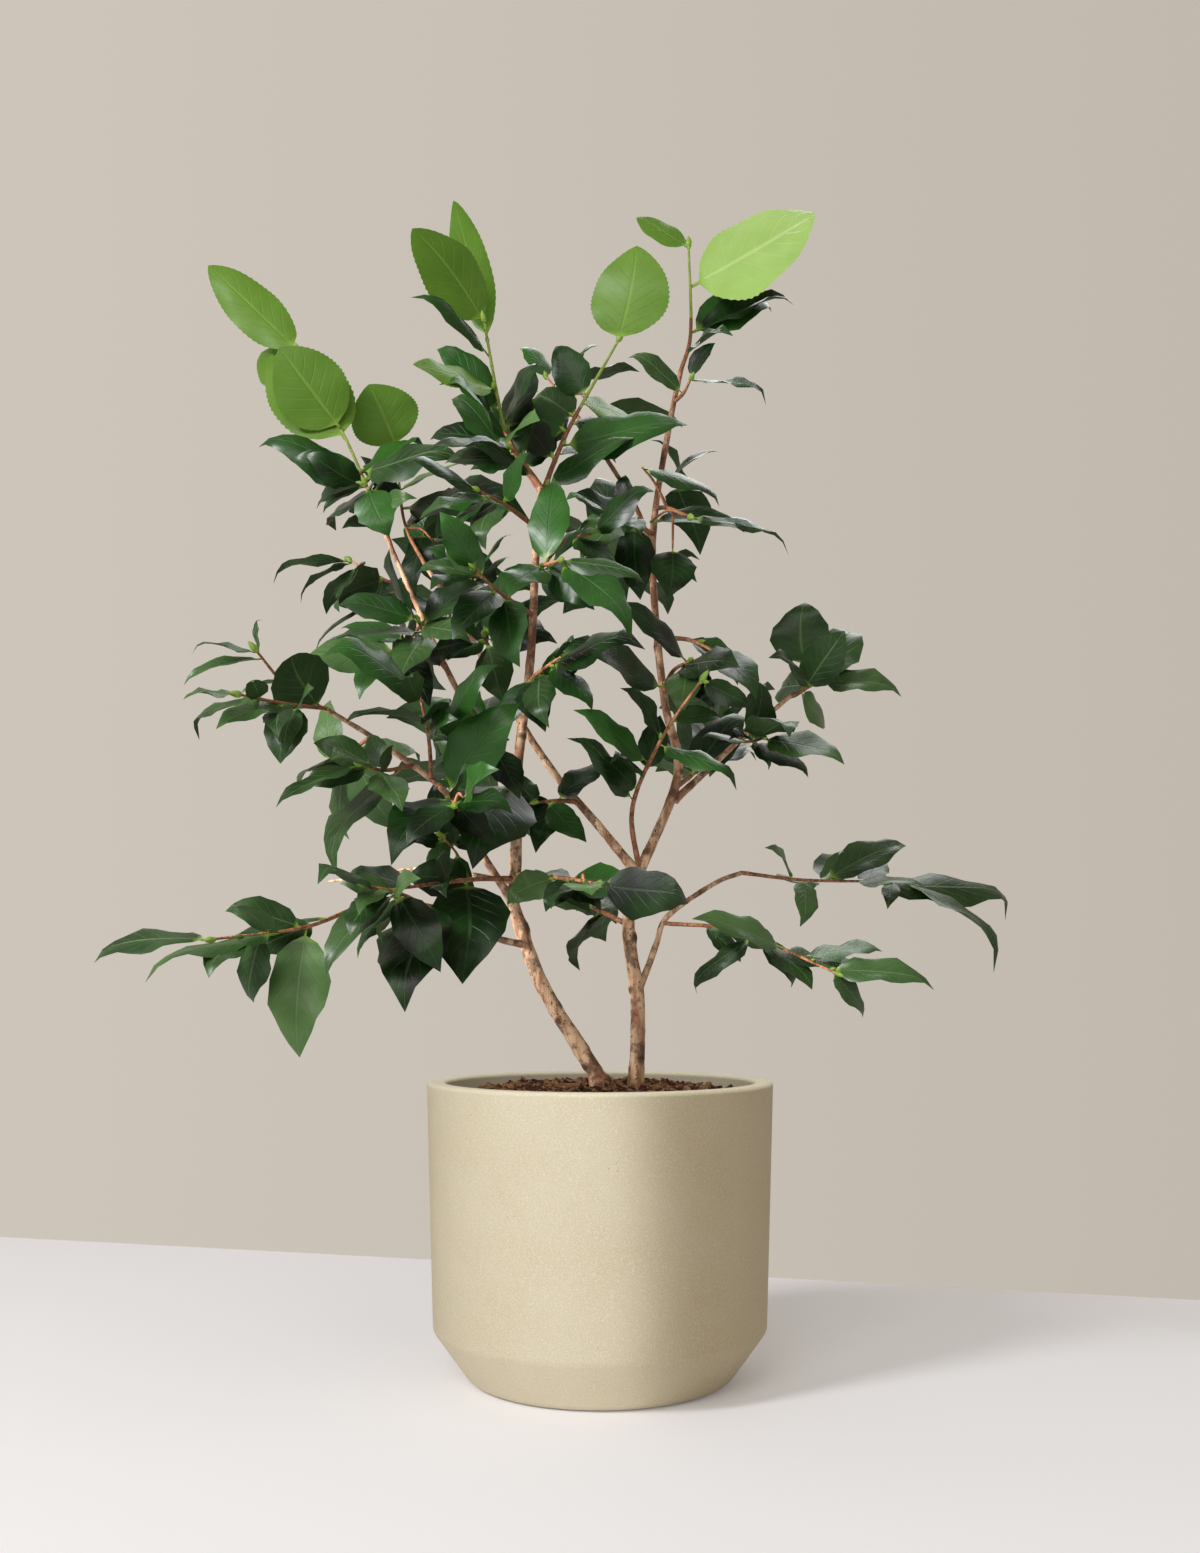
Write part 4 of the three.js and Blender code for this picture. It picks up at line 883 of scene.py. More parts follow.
# Bark: stems, leaders and boughs as tubes along their routes, with joints, knots and relief. Sizes in mm.
wood = dict(step=2.5, sides=20, relief=0.3, reliefScale=80, ripple=0.16, rippleScale=420,
            collar=0.45, collarReach=7, joints=40, jointEvery=31, jointVary=(0.6, 1.4), jointsBefore=9,
            jointSwell=0.07, jointWidth=3.2, grainStretch=0.45, seed=21)
barkLook = dict(roughness=0.62, shine=0.35, streaks=150, streakStretch=0.28, midTo=0.4, paleFrom=0.58,
                patches=75, patchFrom=0.5, patchFull=0.58, patchShare=0.7, youngFrom=0.42, youngFull=0.72,
                youngShare=0.6, flecks=420, fleckStretch=0.6, fleckPatches=160, knotFrom=0.25,
                knotFull=0.75, knotShare=0.85, cracks=520, relief=0.7, reliefDepth=0.0008)
knots = [  # limb, share of it, side it stands out on, mm high, mm wide
    ("stem_left", 0.13, (1, -0.5, 0.6), 3.4, 4.2), ("stem_left", 0.3, (-1, -0.6, 0.3), 1.6, 3.4),
    ("stem_left", 0.55, (-0.6, -1, 0), 1.7, 3.6), ("stem_left", 0.93, (0.9, -0.7, 0.2), 2.2, 5),
    ("stem_right", 0.17, (0.6, -1, 0.2), 1.8, 3.2), ("stem_right", 0.42, (-1, -0.6, 0), 1.5, 3.4),
    ("stem_right", 0.66, (0.8, -0.8, 0.1), 1.9, 4), ("leader_left", 0.25, (-0.8, -0.8, 0), 1.5, 3.6),
    ("leader_left", 0.52, (0.7, -0.9, 0), 1.4, 3.2), ("leader_right", 0.1, (-0.5, -1, 0), 1.4, 3.6),
    ("leader_right", 0.32, (0.9, -0.6, 0), 1.5, 3.2), ("leader_right", 0.56, (-0.8, -0.8, 0), 1.2, 3)]
onePath = {"stem_left": "leader_left", "stem_right": "leader_right"}  # stems whose leader goes straight on


def sampled(curve, radiusAt, step):
    count = max(3, int(curve.length() / step) + 1)
    shares = [i / count for i in range(count + 1)]
    return [curve.point(s) for s in shares], [radiusAt(s) for s in shares]


def limbPaths(w=wood):
    random, paths = np.random.RandomState(w["seed"]), []
    for name, limb in limbOf.items():
        if name in onePath.values():
            continue
        points, radii = sampled(limb["curve"], limb["radiusAt"], w["step"])
        if name in onePath:
            leader = limbOf[onePath[name]]
            more, thinner = sampled(leader["curve"], leader["radiusAt"], w["step"])
            points, radii = points + more[1:], radii + thinner[1:]
        travelled = np.cumsum([0] + [math.dist(a, b) for a, b in zip(points, points[1:])])
        apart = w["jointEvery"] * random.uniform(*w["jointVary"], w["joints"])
        joints = np.cumsum(apart) - w["jointsBefore"]
        swell = sum(np.exp(-((travelled - joint) / w["jointWidth"]) ** 2) for joint in joints)
        collar = 0 if name in onePath else w["collar"] * np.exp(-travelled / w["collarReach"])
        paths.append((points, np.array(radii) * (1 + w["jointSwell"] * swell + collar)))
    return paths


def pathMesh(name, paths):  # loose lines that carry their radius
    points, radii, edges = [], [], []
    for line, thick in paths:
        edges += [(len(points) + i, len(points) + i + 1) for i in range(len(line) - 1)]
        points += list(line)
        radii += list(thick)
    mesh = meshOf(name, np.array(points) * metre, [], edges=edges)
    mesh.attributes.new("thick", "FLOAT", "POINT").data.foreach_set("value", np.array(radii) * metre)
    return linked(name, mesh)


def barkTree():
    tree, given, result = newTree(
        "barkAlongPath", Sides=("Int", 12), Relief=("Float", 0), Scale=("Float", 90), Ripple=("Float", 0),
        Fine=("Float", 400), Knots=("Object", None), Bark=("Material", None))
    line = addNode(tree, "GeometryNodeMeshToCurve", {0: given["Geometry"]}).outputs[0]
    ring = addNode(tree, "GeometryNodeCurvePrimitiveCircle", {"Resolution": given["Sides"], "Radius": 1.0})
    thick = attribute(tree, "thick")
    sockets = {"Curve": line, "Profile Curve": ring.outputs[0], "Scale": thick, "Fill Caps": True}
    tube = addNode(tree, "GeometryNodeCurveToMesh", sockets).outputs[0]
    place = tree.nodes.new("GeometryNodeInputPosition").outputs[0]
    normal = tree.nodes.new("GeometryNodeInputNormal").outputs[0]
    alongGrain = addNode(tree, "ShaderNodeVectorMath", {0: place, 1: (1, 1, wood["grainStretch"])},
                         operation="MULTIPLY").outputs[0]
    lumps = mathNode(tree, "SUBTRACT", noiseNode(tree, alongGrain, given["Scale"], 2), 0.5)
    ripples = mathNode(tree, "SUBTRACT", noiseNode(tree, alongGrain, given["Fine"], 2, 0.6), 0.5)
    lumpHeight = mathNode(tree, "MULTIPLY", mathNode(tree, "MULTIPLY", lumps, given["Relief"]), thick)
    rippleShare = mathNode(tree, "MULTIPLY", ripples, given["Ripple"])
    height = mathNode(tree, "MULTIPLY_ADD", rippleShare, thick, lumpHeight)

    knotInfo = addNode(tree, "GeometryNodeObjectInfo", {"Object": given["Knots"]}).outputs["Geometry"]
    near = addNode(tree, "GeometryNodeProximity", {"Geometry": knotInfo}, target_element="POINTS")
    nearest = addNode(tree, "GeometryNodeSampleNearest", {"Geometry": knotInfo}, domain="POINT")

    def ofKnot(name):
        values = {"Geometry": knotInfo, "Value": attribute(tree, name), "Index": nearest.outputs["Index"]}
        return addNode(tree, "GeometryNodeSampleIndex", values, data_type="FLOAT").outputs["Value"]

    ratio = mathNode(tree, "DIVIDE", near.outputs["Distance"], ofKnot("wide"))
    minusSquare = mathNode(tree, "MULTIPLY", mathNode(tree, "MULTIPLY", ratio, ratio), -1)
    bell = mathNode(tree, "EXPONENT", minusSquare)
    height = mathNode(tree, "MULTIPLY_ADD", bell, ofKnot("high"), height)
    sockets = {"Geometry": tube, "Name": "knot", "Value": bell}
    marked = addNode(tree, "GeometryNodeStoreNamedAttribute", sockets, data_type="FLOAT", domain="POINT")
    offset = addNode(tree, "ShaderNodeVectorMath", {0: normal, "Scale": height}, operation="SCALE")
    moved = addNode(tree, "GeometryNodeSetPosition",
                    {"Geometry": marked.outputs[0], "Offset": offset.outputs[0]}).outputs[0]
    smooth = addNode(tree, "GeometryNodeSetShadeSmooth", {"Geometry": moved, "Shade Smooth": True})
    shown = addNode(tree, "GeometryNodeRealizeInstances", {"Geometry": smooth.outputs[0]}).outputs[0]
    barked = addNode(tree, "GeometryNodeSetMaterial", {"Geometry": shown, "Material": given["Bark"]})
    tree.links.new(barked.outputs[0], result)
    return tree


def knotPoints():
    places, high, wide = [], [], []
    for name, share, side, height, width in knots:
        limb = limbOf[name]
        out = squareTo(np.array(side, float), limb["curve"].tangent(share))
        places.append((limb["curve"].point(share) + out * limb["radiusAt"](share)) * metre)
        high.append(height * metre)
        wide.append(width * metre)
    mesh = meshOf("knotPoints", places, [])
    mesh.attributes.new("high", "FLOAT", "POINT").data.foreach_set("value", high)
    mesh.attributes.new("wide", "FLOAT", "POINT").data.foreach_set("value", wide)
    return linked("knotPoints", mesh)


def barkMaterial(name, pale, mid, dark, young, scale=1.0, look=barkLook):
    material, tree, shader = newMaterial(name, look["roughness"], **{"Specular IOR Level": look["shine"]})
    place, long = objectPlace(tree), objectPlace(tree, (1, 1, look["streakStretch"]))
    streak = noiseNode(tree, long, look["streaks"] * scale, 5, 0.6)
    colour = rampNode(tree, streak, (look["midTo"], hexColour(mid)), (look["paleFrom"], hexColour(pale)))
    patch = rangeNode(tree, noiseNode(tree, place, look["patches"] * scale, 5, 0.7), look["patchFrom"],
                      look["patchFull"])
    colour = mixNode(tree, mathNode(tree, "MULTIPLY", patch, look["patchShare"]), colour, hexColour(dark))
    high = addNode(tree, "ShaderNodeSeparateXYZ", {0: place}).outputs["Z"]
    younger = rangeNode(tree, high, look["youngFrom"], look["youngFull"], 0, look["youngShare"])
    colour = mixNode(tree, younger, colour, hexColour(young))  # higher up, the wood is younger and redder
    sockets = {"Vector": objectPlace(tree, (1, 1, look["fleckStretch"])), "Scale": look["flecks"] * scale}
    cells = addNode(tree, "ShaderNodeTexVoronoi", sockets).outputs["Distance"]
    fleckPatch = rangeNode(tree, noiseNode(tree, place, look["fleckPatches"], 2), 0.46, 0.56)
    fleck = mathNode(tree, "MULTIPLY", rangeNode(tree, cells, 0.12, 0.3, 1, 0), fleckPatch)
    knot = addNode(tree, "ShaderNodeAttribute", attribute_name="knot").outputs["Fac"]
    knot = rangeNode(tree, knot, look["knotFrom"], look["knotFull"], 0, look["knotShare"])
    colour = mixNode(tree, mathNode(tree, "MAXIMUM", fleck, knot), colour, hexColour(dark))
    tree.links.new(colour, shader.inputs["Base Color"])
    crack = mathNode(tree, "SUBTRACT", noiseNode(tree, long, look["cracks"] * scale, 4, 0.7), fleck)
    tree.links.new(bumpNode(tree, crack, look["relief"], look["reliefDepth"]), shader.inputs["Normal"])
    return material


knotObject = knotPoints()
oldBark = barkMaterial("oldBark", "dfbd9b", "a17457", "452c20", "80523b")
alongPath = barkTree()
barkLimbs = grownMesh("barkLimbs", pathMesh("limbPaths", limbPaths()), alongPath, Sides=wood["sides"],
                      Relief=wood["relief"], Scale=wood["reliefScale"], Ripple=wood["ripple"],
                      Fine=wood["rippleScale"], Knots=knotObject, Bark=oldBark)
finish(barkLimbs, "bark", *limbOf)


# Finer leaves grow within the reach of their mass, and only where leaves already cover them in front view.
finer = dict(cell=0.0035, spacing=27, size=(0.62, 0.98), covered=0.86, margin=0.25, tries=5, spread=0.9,
             start=0.25, end=0.97, shootShare=0.9, vary=(0.3, 0.7), roll=0.5, past=2, seed=77)
testRows = ((0.2, 0.17), (0.35, 0.24), (0.5, 0.25), (0.65, 0.22), (0.8, 0.15), (0.93, 0.05))  # half widths
testAcross = (-1, -0.5, 0, 0.5, 1)
eye = np.array(camera["place"]) / metre


def cellOf(place):  # where a point falls in front view
    depth, cell = place[1] - eye[1], finer["cell"]
    return round((place[0] - eye[0]) / depth / cell), round((place[2] - eye[2]) / depth / cell)


def bladePoints(root, tip, facing, broad):
    along = tip - root
    side = cross(unit(along), facing) * (math.sqrt(along @ along) * broad)
    for share, half in testRows:
        for across in testAcross:
            yield mix(root, tip, share) + side * (half * across)


covered = set()
for leaf in leaves:
    for point in bladePoints(leaf["root"], leaf["tip"], leaf["facing"], leaf["broad"]):
        column, row = cellOf(point)
        covered.update((column + i, row + j) for i in (-1, 0, 1) for j in (-1, 0, 1))


def reachOf(mass):
    own = np.array([p for leaf in leaves if leaf["mass"] is mass for p in (leaf["root"], leaf["tip"])])
    return own.min(0) - finer["past"], own.max(0) + finer["past"]


def growFiner(mass, random):
    low, high = reachOf(mass)
    for line in [mass["curve"], *mass["twigs"]]:
        count, last = int(line.length() / finer["spacing"]), finer["end"]
        if line is mass["curve"]:
            last = min(last, mass.get("shoot", 1) * finer["shootShare"])  # none on the green shoots
        for i in range(count):
            share = mix(finer["start"], last, (i + random.uniform(*finer["vary"])) / count)
            base, along = line.point(share), line.tangent(share)
            length = mass["leaf"] * random.uniform(*finer["size"])
            first, roll = random.uniform(0, 2 * math.pi), random.uniform(-finer["roll"], finer["roll"])
            for turn in range(finer["tries"]):
                across = turnedAbout(squareTo(sky, along), along, first + goldenAngle * turn)
                way = along * math.cos(finer["spread"]) + across * math.sin(finer["spread"]) + leafDroop
                way = unit(way)
                tip = base + way * length
                facing = facingAt(mix(base, tip, 0.5), way, roll, False)
                cells = [cellOf(p) in covered for p in bladePoints(base, tip, facing, 1)]
                if (tip < low).any() or (tip > high).any() or sum(cells) < finer["covered"] * len(cells):
                    continue
                if addLeaf(mass, base, tip, roll, 1, margin=finer["margin"]):
                    break


ruled = len(leaves)
random = np.random.RandomState(finer["seed"])
for mass in grown:
    if not mass.get("sparse"):
        growFiner(mass, random)
say(f"{len(leaves) - ruled} finer leaves")


# Twigs: each mass's stem and side twigs, and green shoots under the young leaves.
twigLook = dict(step=3, sides=7, relief=0.35, scale=160, ripple=0.2, fine=600, barkScale=2.0, limbEnd=0.96,
                brown=("b07a55", "8a5a3f", "54382a"), green=("b5c46a", "8fa54b", "6d7f3c"))


def twigPaths():
    brown, green = [], []
    for mass in grown:
        limb, root = limbOf[mass["limb"]], mass["rootRadius"]
        if mass["at"] > twigLook["limbEnd"]:
            root = min(limb["radiusAt"](mass["at"]), stemRadius[0])
        curve = mass["curve"]
        points, radii = sampled(curve, lambda share: mix(root, stemRadius[1], share), twigLook["step"])
        cut = int(len(points) * mass.get("shoot", 1))
        brown.append((points[:cut + 1], radii[:cut + 1]))
        if cut < len(points):
            green.append((points[cut:], radii[cut:]))
        for twig in mass["twigs"]:
            line = sampled(twig, lambda share: mix(*sideTwigRadius, share), twigLook["step"])
            near = any(leaf["tone"] in ("young", "fresh") and math.dist(leaf["root"], line[0][-1]) < 1
                       for leaf in leaves if leaf["mass"] is mass)
            (green if near else brown).append(line)
    return brown, green


# Leaf shapes have unit length, with the root at the origin and the tip at y = 1.
leafForm = dict(halfWidth=0.25, stalk=0.07, stalkWidth=0.033, bladeFrom=0.05, rib=0.012, ribRoot=1.6,
                inner=0.55, waves=2.2, waveShift=1.7, seed=3)
leafShapes = dict(  # outline: how fast the blade widens from its stalk, and how fast it narrows to its tip
    old=dict(count=16, rows=10, outline=(0.65, 1.0), teeth=0.03, fold=(0.1, 0.6), curl=(0.1, 0.5),
             arch=(0.02, 0.08), hook=(0.06, 0.3), wave=(0.04, 0.18), twist=(-0.5, 0.5), bend=(-0.06, 0.06)),
    young=dict(count=5, rows=40, outline=(0.6, 0.8), teeth=0.018, fold=(0.05, 0.22), curl=(0.05, 0.25),
               arch=(0.01, 0.05), hook=(0, 0.05), wave=(0.03, 0.1), twist=(-0.2, 0.2), bend=(-0.03, 0.03)))
drawnValues = ("fold", "curl", "arch", "hook", "wave", "twist", "bend")


def bladeWidth(share, widening, narrowing):  # as a share of the widest
    along = (share - leafForm["stalk"]) / (1 - leafForm["stalk"])
    if along <= 0:
        return leafForm["stalkWidth"]
    widest = widening / (widening + narrowing)
    return (along / widest) ** widening * ((1 - along) / (1 - widest)) ** narrowing


def leafShape(name, rows, outline, teeth, fold, curl, arch, hook, wave, twist, bend, phase):
    form, last = leafForm, len(rows) - 1
    points, faces, places = [], [], []

    def put(i, across, lift=0.0):
        v, wide = rows[i], form["halfWidth"] * bladeWidth(rows[i], *outline)
        if abs(across) == 1 and 2 <= i < last:
            wide *= 1 + teeth * (1 if i % 2 else -1)
        x = across * wide
        z = wide * (fold * abs(across) - curl * across ** 2) + lift
        waveAt = 2 * math.pi * (form["waves"] * v + phase) + (form["waveShift"] if across > 0 else 0)
        z += wave * wide * across ** 2 * math.sin(waveAt)
        angle = twist * (v - 0.5)
        x, z = x * math.cos(angle) - z * math.sin(angle), x * math.sin(angle) + z * math.cos(angle)
        z = z + arch * 4 * v * (1 - v) + hook * v ** 1.5 * (1 - v ** 8)
        points.append((x + bend * 4 * v * (1 - v), v, z))
        places.append(((across + 1) / 2, v))
        return len(points) - 1

    columns = (-1, -form["inner"], 0, form["inner"], 1)
    tops = [[put(i, across) for across in columns] for i in range(last)]
    ribs = [put(i, 0, -form["rib"] * (form["ribRoot"] if i < 2 else 1)) for i in range(last)]
    tip = put(last, 0)
    for i in range(last - 1):
        a, b = tops[i], tops[i + 1]
        faces += [(a[j], a[j + 1], b[j + 1], b[j]) for j in range(4)]
    faces += [(tops[-1][j], tops[-1][j + 1], tip) for j in range(4)]
    upper = len(faces)
    for i in range(last - 1):
        a, b = tops[i], tops[i + 1]
        faces += [(a[0], b[0], ribs[i + 1], ribs[i]), (ribs[i], ribs[i + 1], b[4], a[4])]
    faces += [(tops[-1][0], tip, ribs[-1]), (ribs[-1], tip, tops[-1][4])]
    faces.append((ribs[0], *reversed(tops[0])))
    mesh = meshOf(name, points, faces)
    layer = mesh.uv_layers.new(name="UVMap")
    for loop in mesh.loops:
        layer.data[loop.index].uv = places[loop.vertex_index]
    under = mesh.attributes.new("under", "BOOLEAN", "FACE")
    under.data.foreach_set("value", [k >= upper for k in range(len(faces))])
    rim = {frozenset(pair) for side in (0, 4) for pair in
           zip([row[side] for row in tops], [row[side] for row in tops[1:]] + [tip])}
    for edge in mesh.edges:
        edge.use_edge_sharp = frozenset(edge.vertices) in rim
    return bpy.data.objects.new(name, mesh)


def shapeSet(kind):
    spec, random = leafShapes[kind], np.random.RandomState(leafForm["seed"])
    bladeFrom = leafForm["stalk"] + leafForm["bladeFrom"]
    rows = [0, leafForm["stalk"], *np.linspace(bladeFrom, 1, spec["rows"])]
    shapes = bpy.data.collections.new(kind + "LeafShapes")
    for i in range(spec["count"]):
        drawn = {key: random.uniform(*spec[key]) for key in drawnValues}
        shapes.objects.link(leafShape(f"{kind}Leaf{i:02d}", rows, spec["outline"], spec["teeth"],
                                      phase=random.uniform(0, 1), **drawn))
    return shapes


def plantingTree(name):  # one of the shapes on each point, turned and sized by the point's attributes
    tree, given, result = newTree(name, Shapes=("Collection", None), Face=("Material", None),
                                  Underside=("Material", None))
    sockets = {"Collection": given["Shapes"], "Separate Children": True, "Reset Children": True}
    shapes = addNode(tree, "GeometryNodeCollectionInfo", sockets).outputs[0]
    planted = addNode(tree, "GeometryNodeInstanceOnPoints",
                      {"Points": given["Geometry"], "Instance": shapes, "Pick Instance": True,
                       "Instance Index": attribute(tree, "shape", "INT"),
                       "Rotation": attribute(tree, "turn", "FLOAT_VECTOR"),
                       "Scale": attribute(tree, "size", "FLOAT_VECTOR")}).outputs[0]
    shown = addNode(tree, "GeometryNodeRealizeInstances", {"Geometry": planted}).outputs[0]
    face = addNode(tree, "GeometryNodeSetMaterial", {"Geometry": shown, "Material": given["Face"]})
    back = addNode(tree, "GeometryNodeSetMaterial",
                   {"Geometry": face.outputs[0], "Selection": attribute(tree, "under", "BOOLEAN"),
                    "Material": given["Underside"]}).outputs[0]
    tree.links.new(back, result)
    return tree


def pointsFor(name, items):  # each item: place, three axes, size, shape, shade of green
    mesh = meshOf(name, [item[0] for item in items], [])
    turns = [Matrix(item[1]).transposed().to_euler() for item in items]
    for key, vectors in (("turn", turns), ("size", [item[2] for item in items])):
        made = mesh.attributes.new(key, "FLOAT_VECTOR", "POINT")
        made.data.foreach_set("vector", np.array([list(v) for v in vectors], float).ravel())
    mesh.attributes.new("shape", "INT", "POINT").data.foreach_set("value", [item[3] for item in items])
    mesh.attributes.new("shade", "FLOAT", "POINT").data.foreach_set("value", [item[4] for item in items])
    return linked(name, mesh)


def leafItem(leaf, index):
    along = unit(leaf["tip"] - leaf["root"])
    right = cross(along, leaf["facing"])
    length = math.dist(leaf["root"], leaf["tip"]) * metre
    size = (length * leaf["broad"], length, length)
    return leaf["root"] * metre, (right, along, leaf["facing"]), size, index, leaf["shade"]


# What the materials of all leaves share: veins, a pale stalk, clouds of tone and fine pores.
leafLook = dict(petiole="8fb04a", shine=0.15, coatRoughness=0.27, ribFrom=0.02, ribTo=0.07, branches=8,
                slant=-2.2, branchWidth=0.09, branchShare=0.45, clouds=36, cloudShare=0.35,
                ownShare=0.8, stalkFrom=0.06, stalkTo=0.13, pores=420, poreShare=0.25, relief=0.5,
                reliefDepth=0.0012)


def leafMaterial(name, dark, light, vein, roughness=0.4, coat=0.45, veins=0.4, look=leafLook):
    material, tree, shader = newMaterial(
        name, roughness, **{"Coat Weight": coat, "Coat Roughness": look["coatRoughness"],
                            "Specular IOR Level": look["shine"]})
    place = addNode(tree, "ShaderNodeSeparateXYZ", {0: tree.nodes.new("ShaderNodeUVMap").outputs[0]})
    across = mathNode(tree, "ABSOLUTE", mathNode(tree, "MULTIPLY_ADD", place.outputs["X"], 2, -1))
    along = place.outputs["Y"]
    rib = rangeNode(tree, across, look["ribFrom"], look["ribTo"], 1, 0)
    branches = mathNode(tree, "MULTIPLY", along, look["branches"])
    waves = mathNode(tree, "MULTIPLY_ADD", across, look["slant"], branches)
    side = rangeNode(tree, mathNode(tree, "PINGPONG", waves, 0.5), 0, look["branchWidth"], 1, 0)
    fading = rangeNode(tree, across, 0.9, 0.5, 0, look["branchShare"])
    lines = mathNode(tree, "MAXIMUM", rib, mathNode(tree, "MULTIPLY", side, fading))
    world = objectPlace(tree)
    cloud = rangeNode(tree, noiseNode(tree, world, look["clouds"], 3), 0.35, 0.68)
    own = addNode(tree, "ShaderNodeAttribute", attribute_name="shade").outputs["Fac"]
    ownShade = mathNode(tree, "MULTIPLY", own, look["ownShare"])
    shade = mathNode(tree, "MULTIPLY_ADD", cloud, look["cloudShare"], ownShade)
    colour = mixNode(tree, shade, hexColour(dark), hexColour(light))
    colour = mixNode(tree, mathNode(tree, "MULTIPLY", lines, veins), colour, hexColour(vein))
    stalk = rangeNode(tree, along, look["stalkFrom"], look["stalkTo"], 1, 0)
    tree.links.new(mixNode(tree, stalk, colour, hexColour(look["petiole"])), shader.inputs["Base Color"])
    sunk, pores = mathNode(tree, "MULTIPLY", lines, -1), noiseNode(tree, world, look["pores"], 2)
    height = mathNode(tree, "MULTIPLY_ADD", pores, look["poreShare"], sunk)
    tree.links.new(bumpNode(tree, height, look["relief"], look["reliefDepth"]), shader.inputs["Normal"])
    return material


tones = dict(
    deep=dict(kind="old", piece="leavesDeep",
              face=dict(dark="040d04", light="2a581b", vein="45683a", coat=0.26, veins=0.28)),
    mid=dict(kind="old", piece="leavesMid",
             face=dict(dark="163012", light="4d6d3a", vein="76965c", coat=0.22, veins=0.33)),
    young=dict(kind="young", piece="leavesYoung",
               face=dict(dark="4f771f", light="678d30", vein="97b955", roughness=0.5, coat=0.12,
                         veins=0.25)),
    fresh=dict(kind="young", piece="leavesFresh",
               face=dict(dark="96bb60", light="b4d583", vein="cce39c", roughness=0.3, coat=0.5,
                         veins=0.4)))
undersides = dict(old=dict(dark="263e1f", light="4a663b", vein="6a8954", roughness=0.6, coat=0),
                  young=dict(dark="6f9448", light="83a95a", vein="a4c680", roughness=0.55, coat=0))
midMasses = ("low_left", "left", "left_tip", "low_right", "low_right_front", "right", "left_hanging",
             "back_low", "low_left_inner", "left_middle")
toneDraw = dict(midShare=0.12, darker=2.5, seed=41)  # the larger "darker" is, the more leaves are dark


def isOneOf(leaf, key):
    return leaf.get("order") in leaf["mass"].get(key, ())


random = np.random.RandomState(toneDraw["seed"])
for leaf in leaves:
    name = leaf["mass"]["name"].removeprefix("foliage_")
    if leaf["bright"]:
        leaf["tone"] = "fresh" if isOneOf(leaf, "fresh") else "young"
        if isOneOf(leaf, "mild"):
            leaf["tone"] = "mid"
    else:
        leaf["tone"] = "mid" if name in midMasses or random.rand() < toneDraw["midShare"] else "deep"
    leaf["shade"] = 1 if isOneOf(leaf, "lush") else random.rand() ** toneDraw["darker"]
    if isOneOf(leaf, "dusky"):
        leaf["tone"], leaf["shade"] = "deep", 0

backs = {kind: leafMaterial("leafBack" + kind.capitalize(), **look) for kind, look in undersides.items()}
shapeSets = {kind: shapeSet(kind) for kind in leafShapes}
leafPlanting = plantingTree("leafPlanting")
foliage = [mass["name"] for mass in grown]
for tone, look in tones.items():
    kind, toned = look["kind"], [leaf for leaf in leaves if leaf["tone"] == tone]
    items = [leafItem(leaf, random.randint(leafShapes[kind]["count"])) for leaf in toned]
    places = pointsFor(tone + "Places", items)
    faceMaterial = leafMaterial("leaf" + tone.capitalize(), **look["face"])
    piece = grownMesh(look["piece"], places, leafPlanting, Shapes=shapeSets[kind], Face=faceMaterial,
                      Underside=backs[kind])
    carried = foliage if tone == "deep" else sorted({leaf["mass"]["name"] for leaf in toned})
    finish(piece, "foliage", *carried)

brownPaths, greenPaths = twigPaths()
shooting = [mass["name"] for mass in grown if "young" in mass]
for name, paths, colours, carried in (("twigsBrown", brownPaths, twigLook["brown"], foliage),
                                      ("shootsGreen", greenPaths, twigLook["green"], shooting)):
    pale, mid, dark = colours
    piece = grownMesh(name, pathMesh(name + "Paths", paths), alongPath, Sides=twigLook["sides"],
                      Relief=twigLook["relief"], Scale=twigLook["scale"], Ripple=twigLook["ripple"],
                      Fine=twigLook["fine"], Knots=knotObject,
                      Bark=barkMaterial(name + "Bark", pale, mid, dark, mid, twigLook["barkScale"]))
    finish(piece, "foliage", *carried)


# Buds: plump green ones at the ends of stems and in some leaf joints. Each kind of place has the bud's
# distance from it in mm, and the bud's size as a share.
buds = dict(sides=7, rings=((0, 0.3), (0.16, 0.85), (0.4, 1.0), (0.68, 0.72), (0.9, 0.25)), ridge=0.12,
            length=(6, 10), width=0.24, turn=0.2, atEnd=(1.5, 1.1), beside=(3, 0.8), besideShare=0.5,
            besideTurn=0.7, inJoint=(1, 0.75), jointShare=0.3, jointLean=0.9, jointTurn=0.2, seed=9,
            colours=("7ba040", "92b653", "b8cf7e"), shade=0.5)


def budShape():
    rings = []
    for y, share in buds["rings"]:
        ring = []
        for k in range(buds["sides"]):
            angle = -2 * math.pi * k / buds["sides"]
            wide = share * buds["width"] * (1 + buds["ridge"] * (k % 2))
            ring.append(np.array((wide * math.cos(angle), y, wide * math.sin(angle))))
        rings.append(ring)
    shapes = bpy.data.collections.new("budShapes")
    shapes.objects.link(bpy.data.objects.new("bud", meshOf("bud", *loft(rings, np.array((0, 1.0, 0))))))
    return shapes


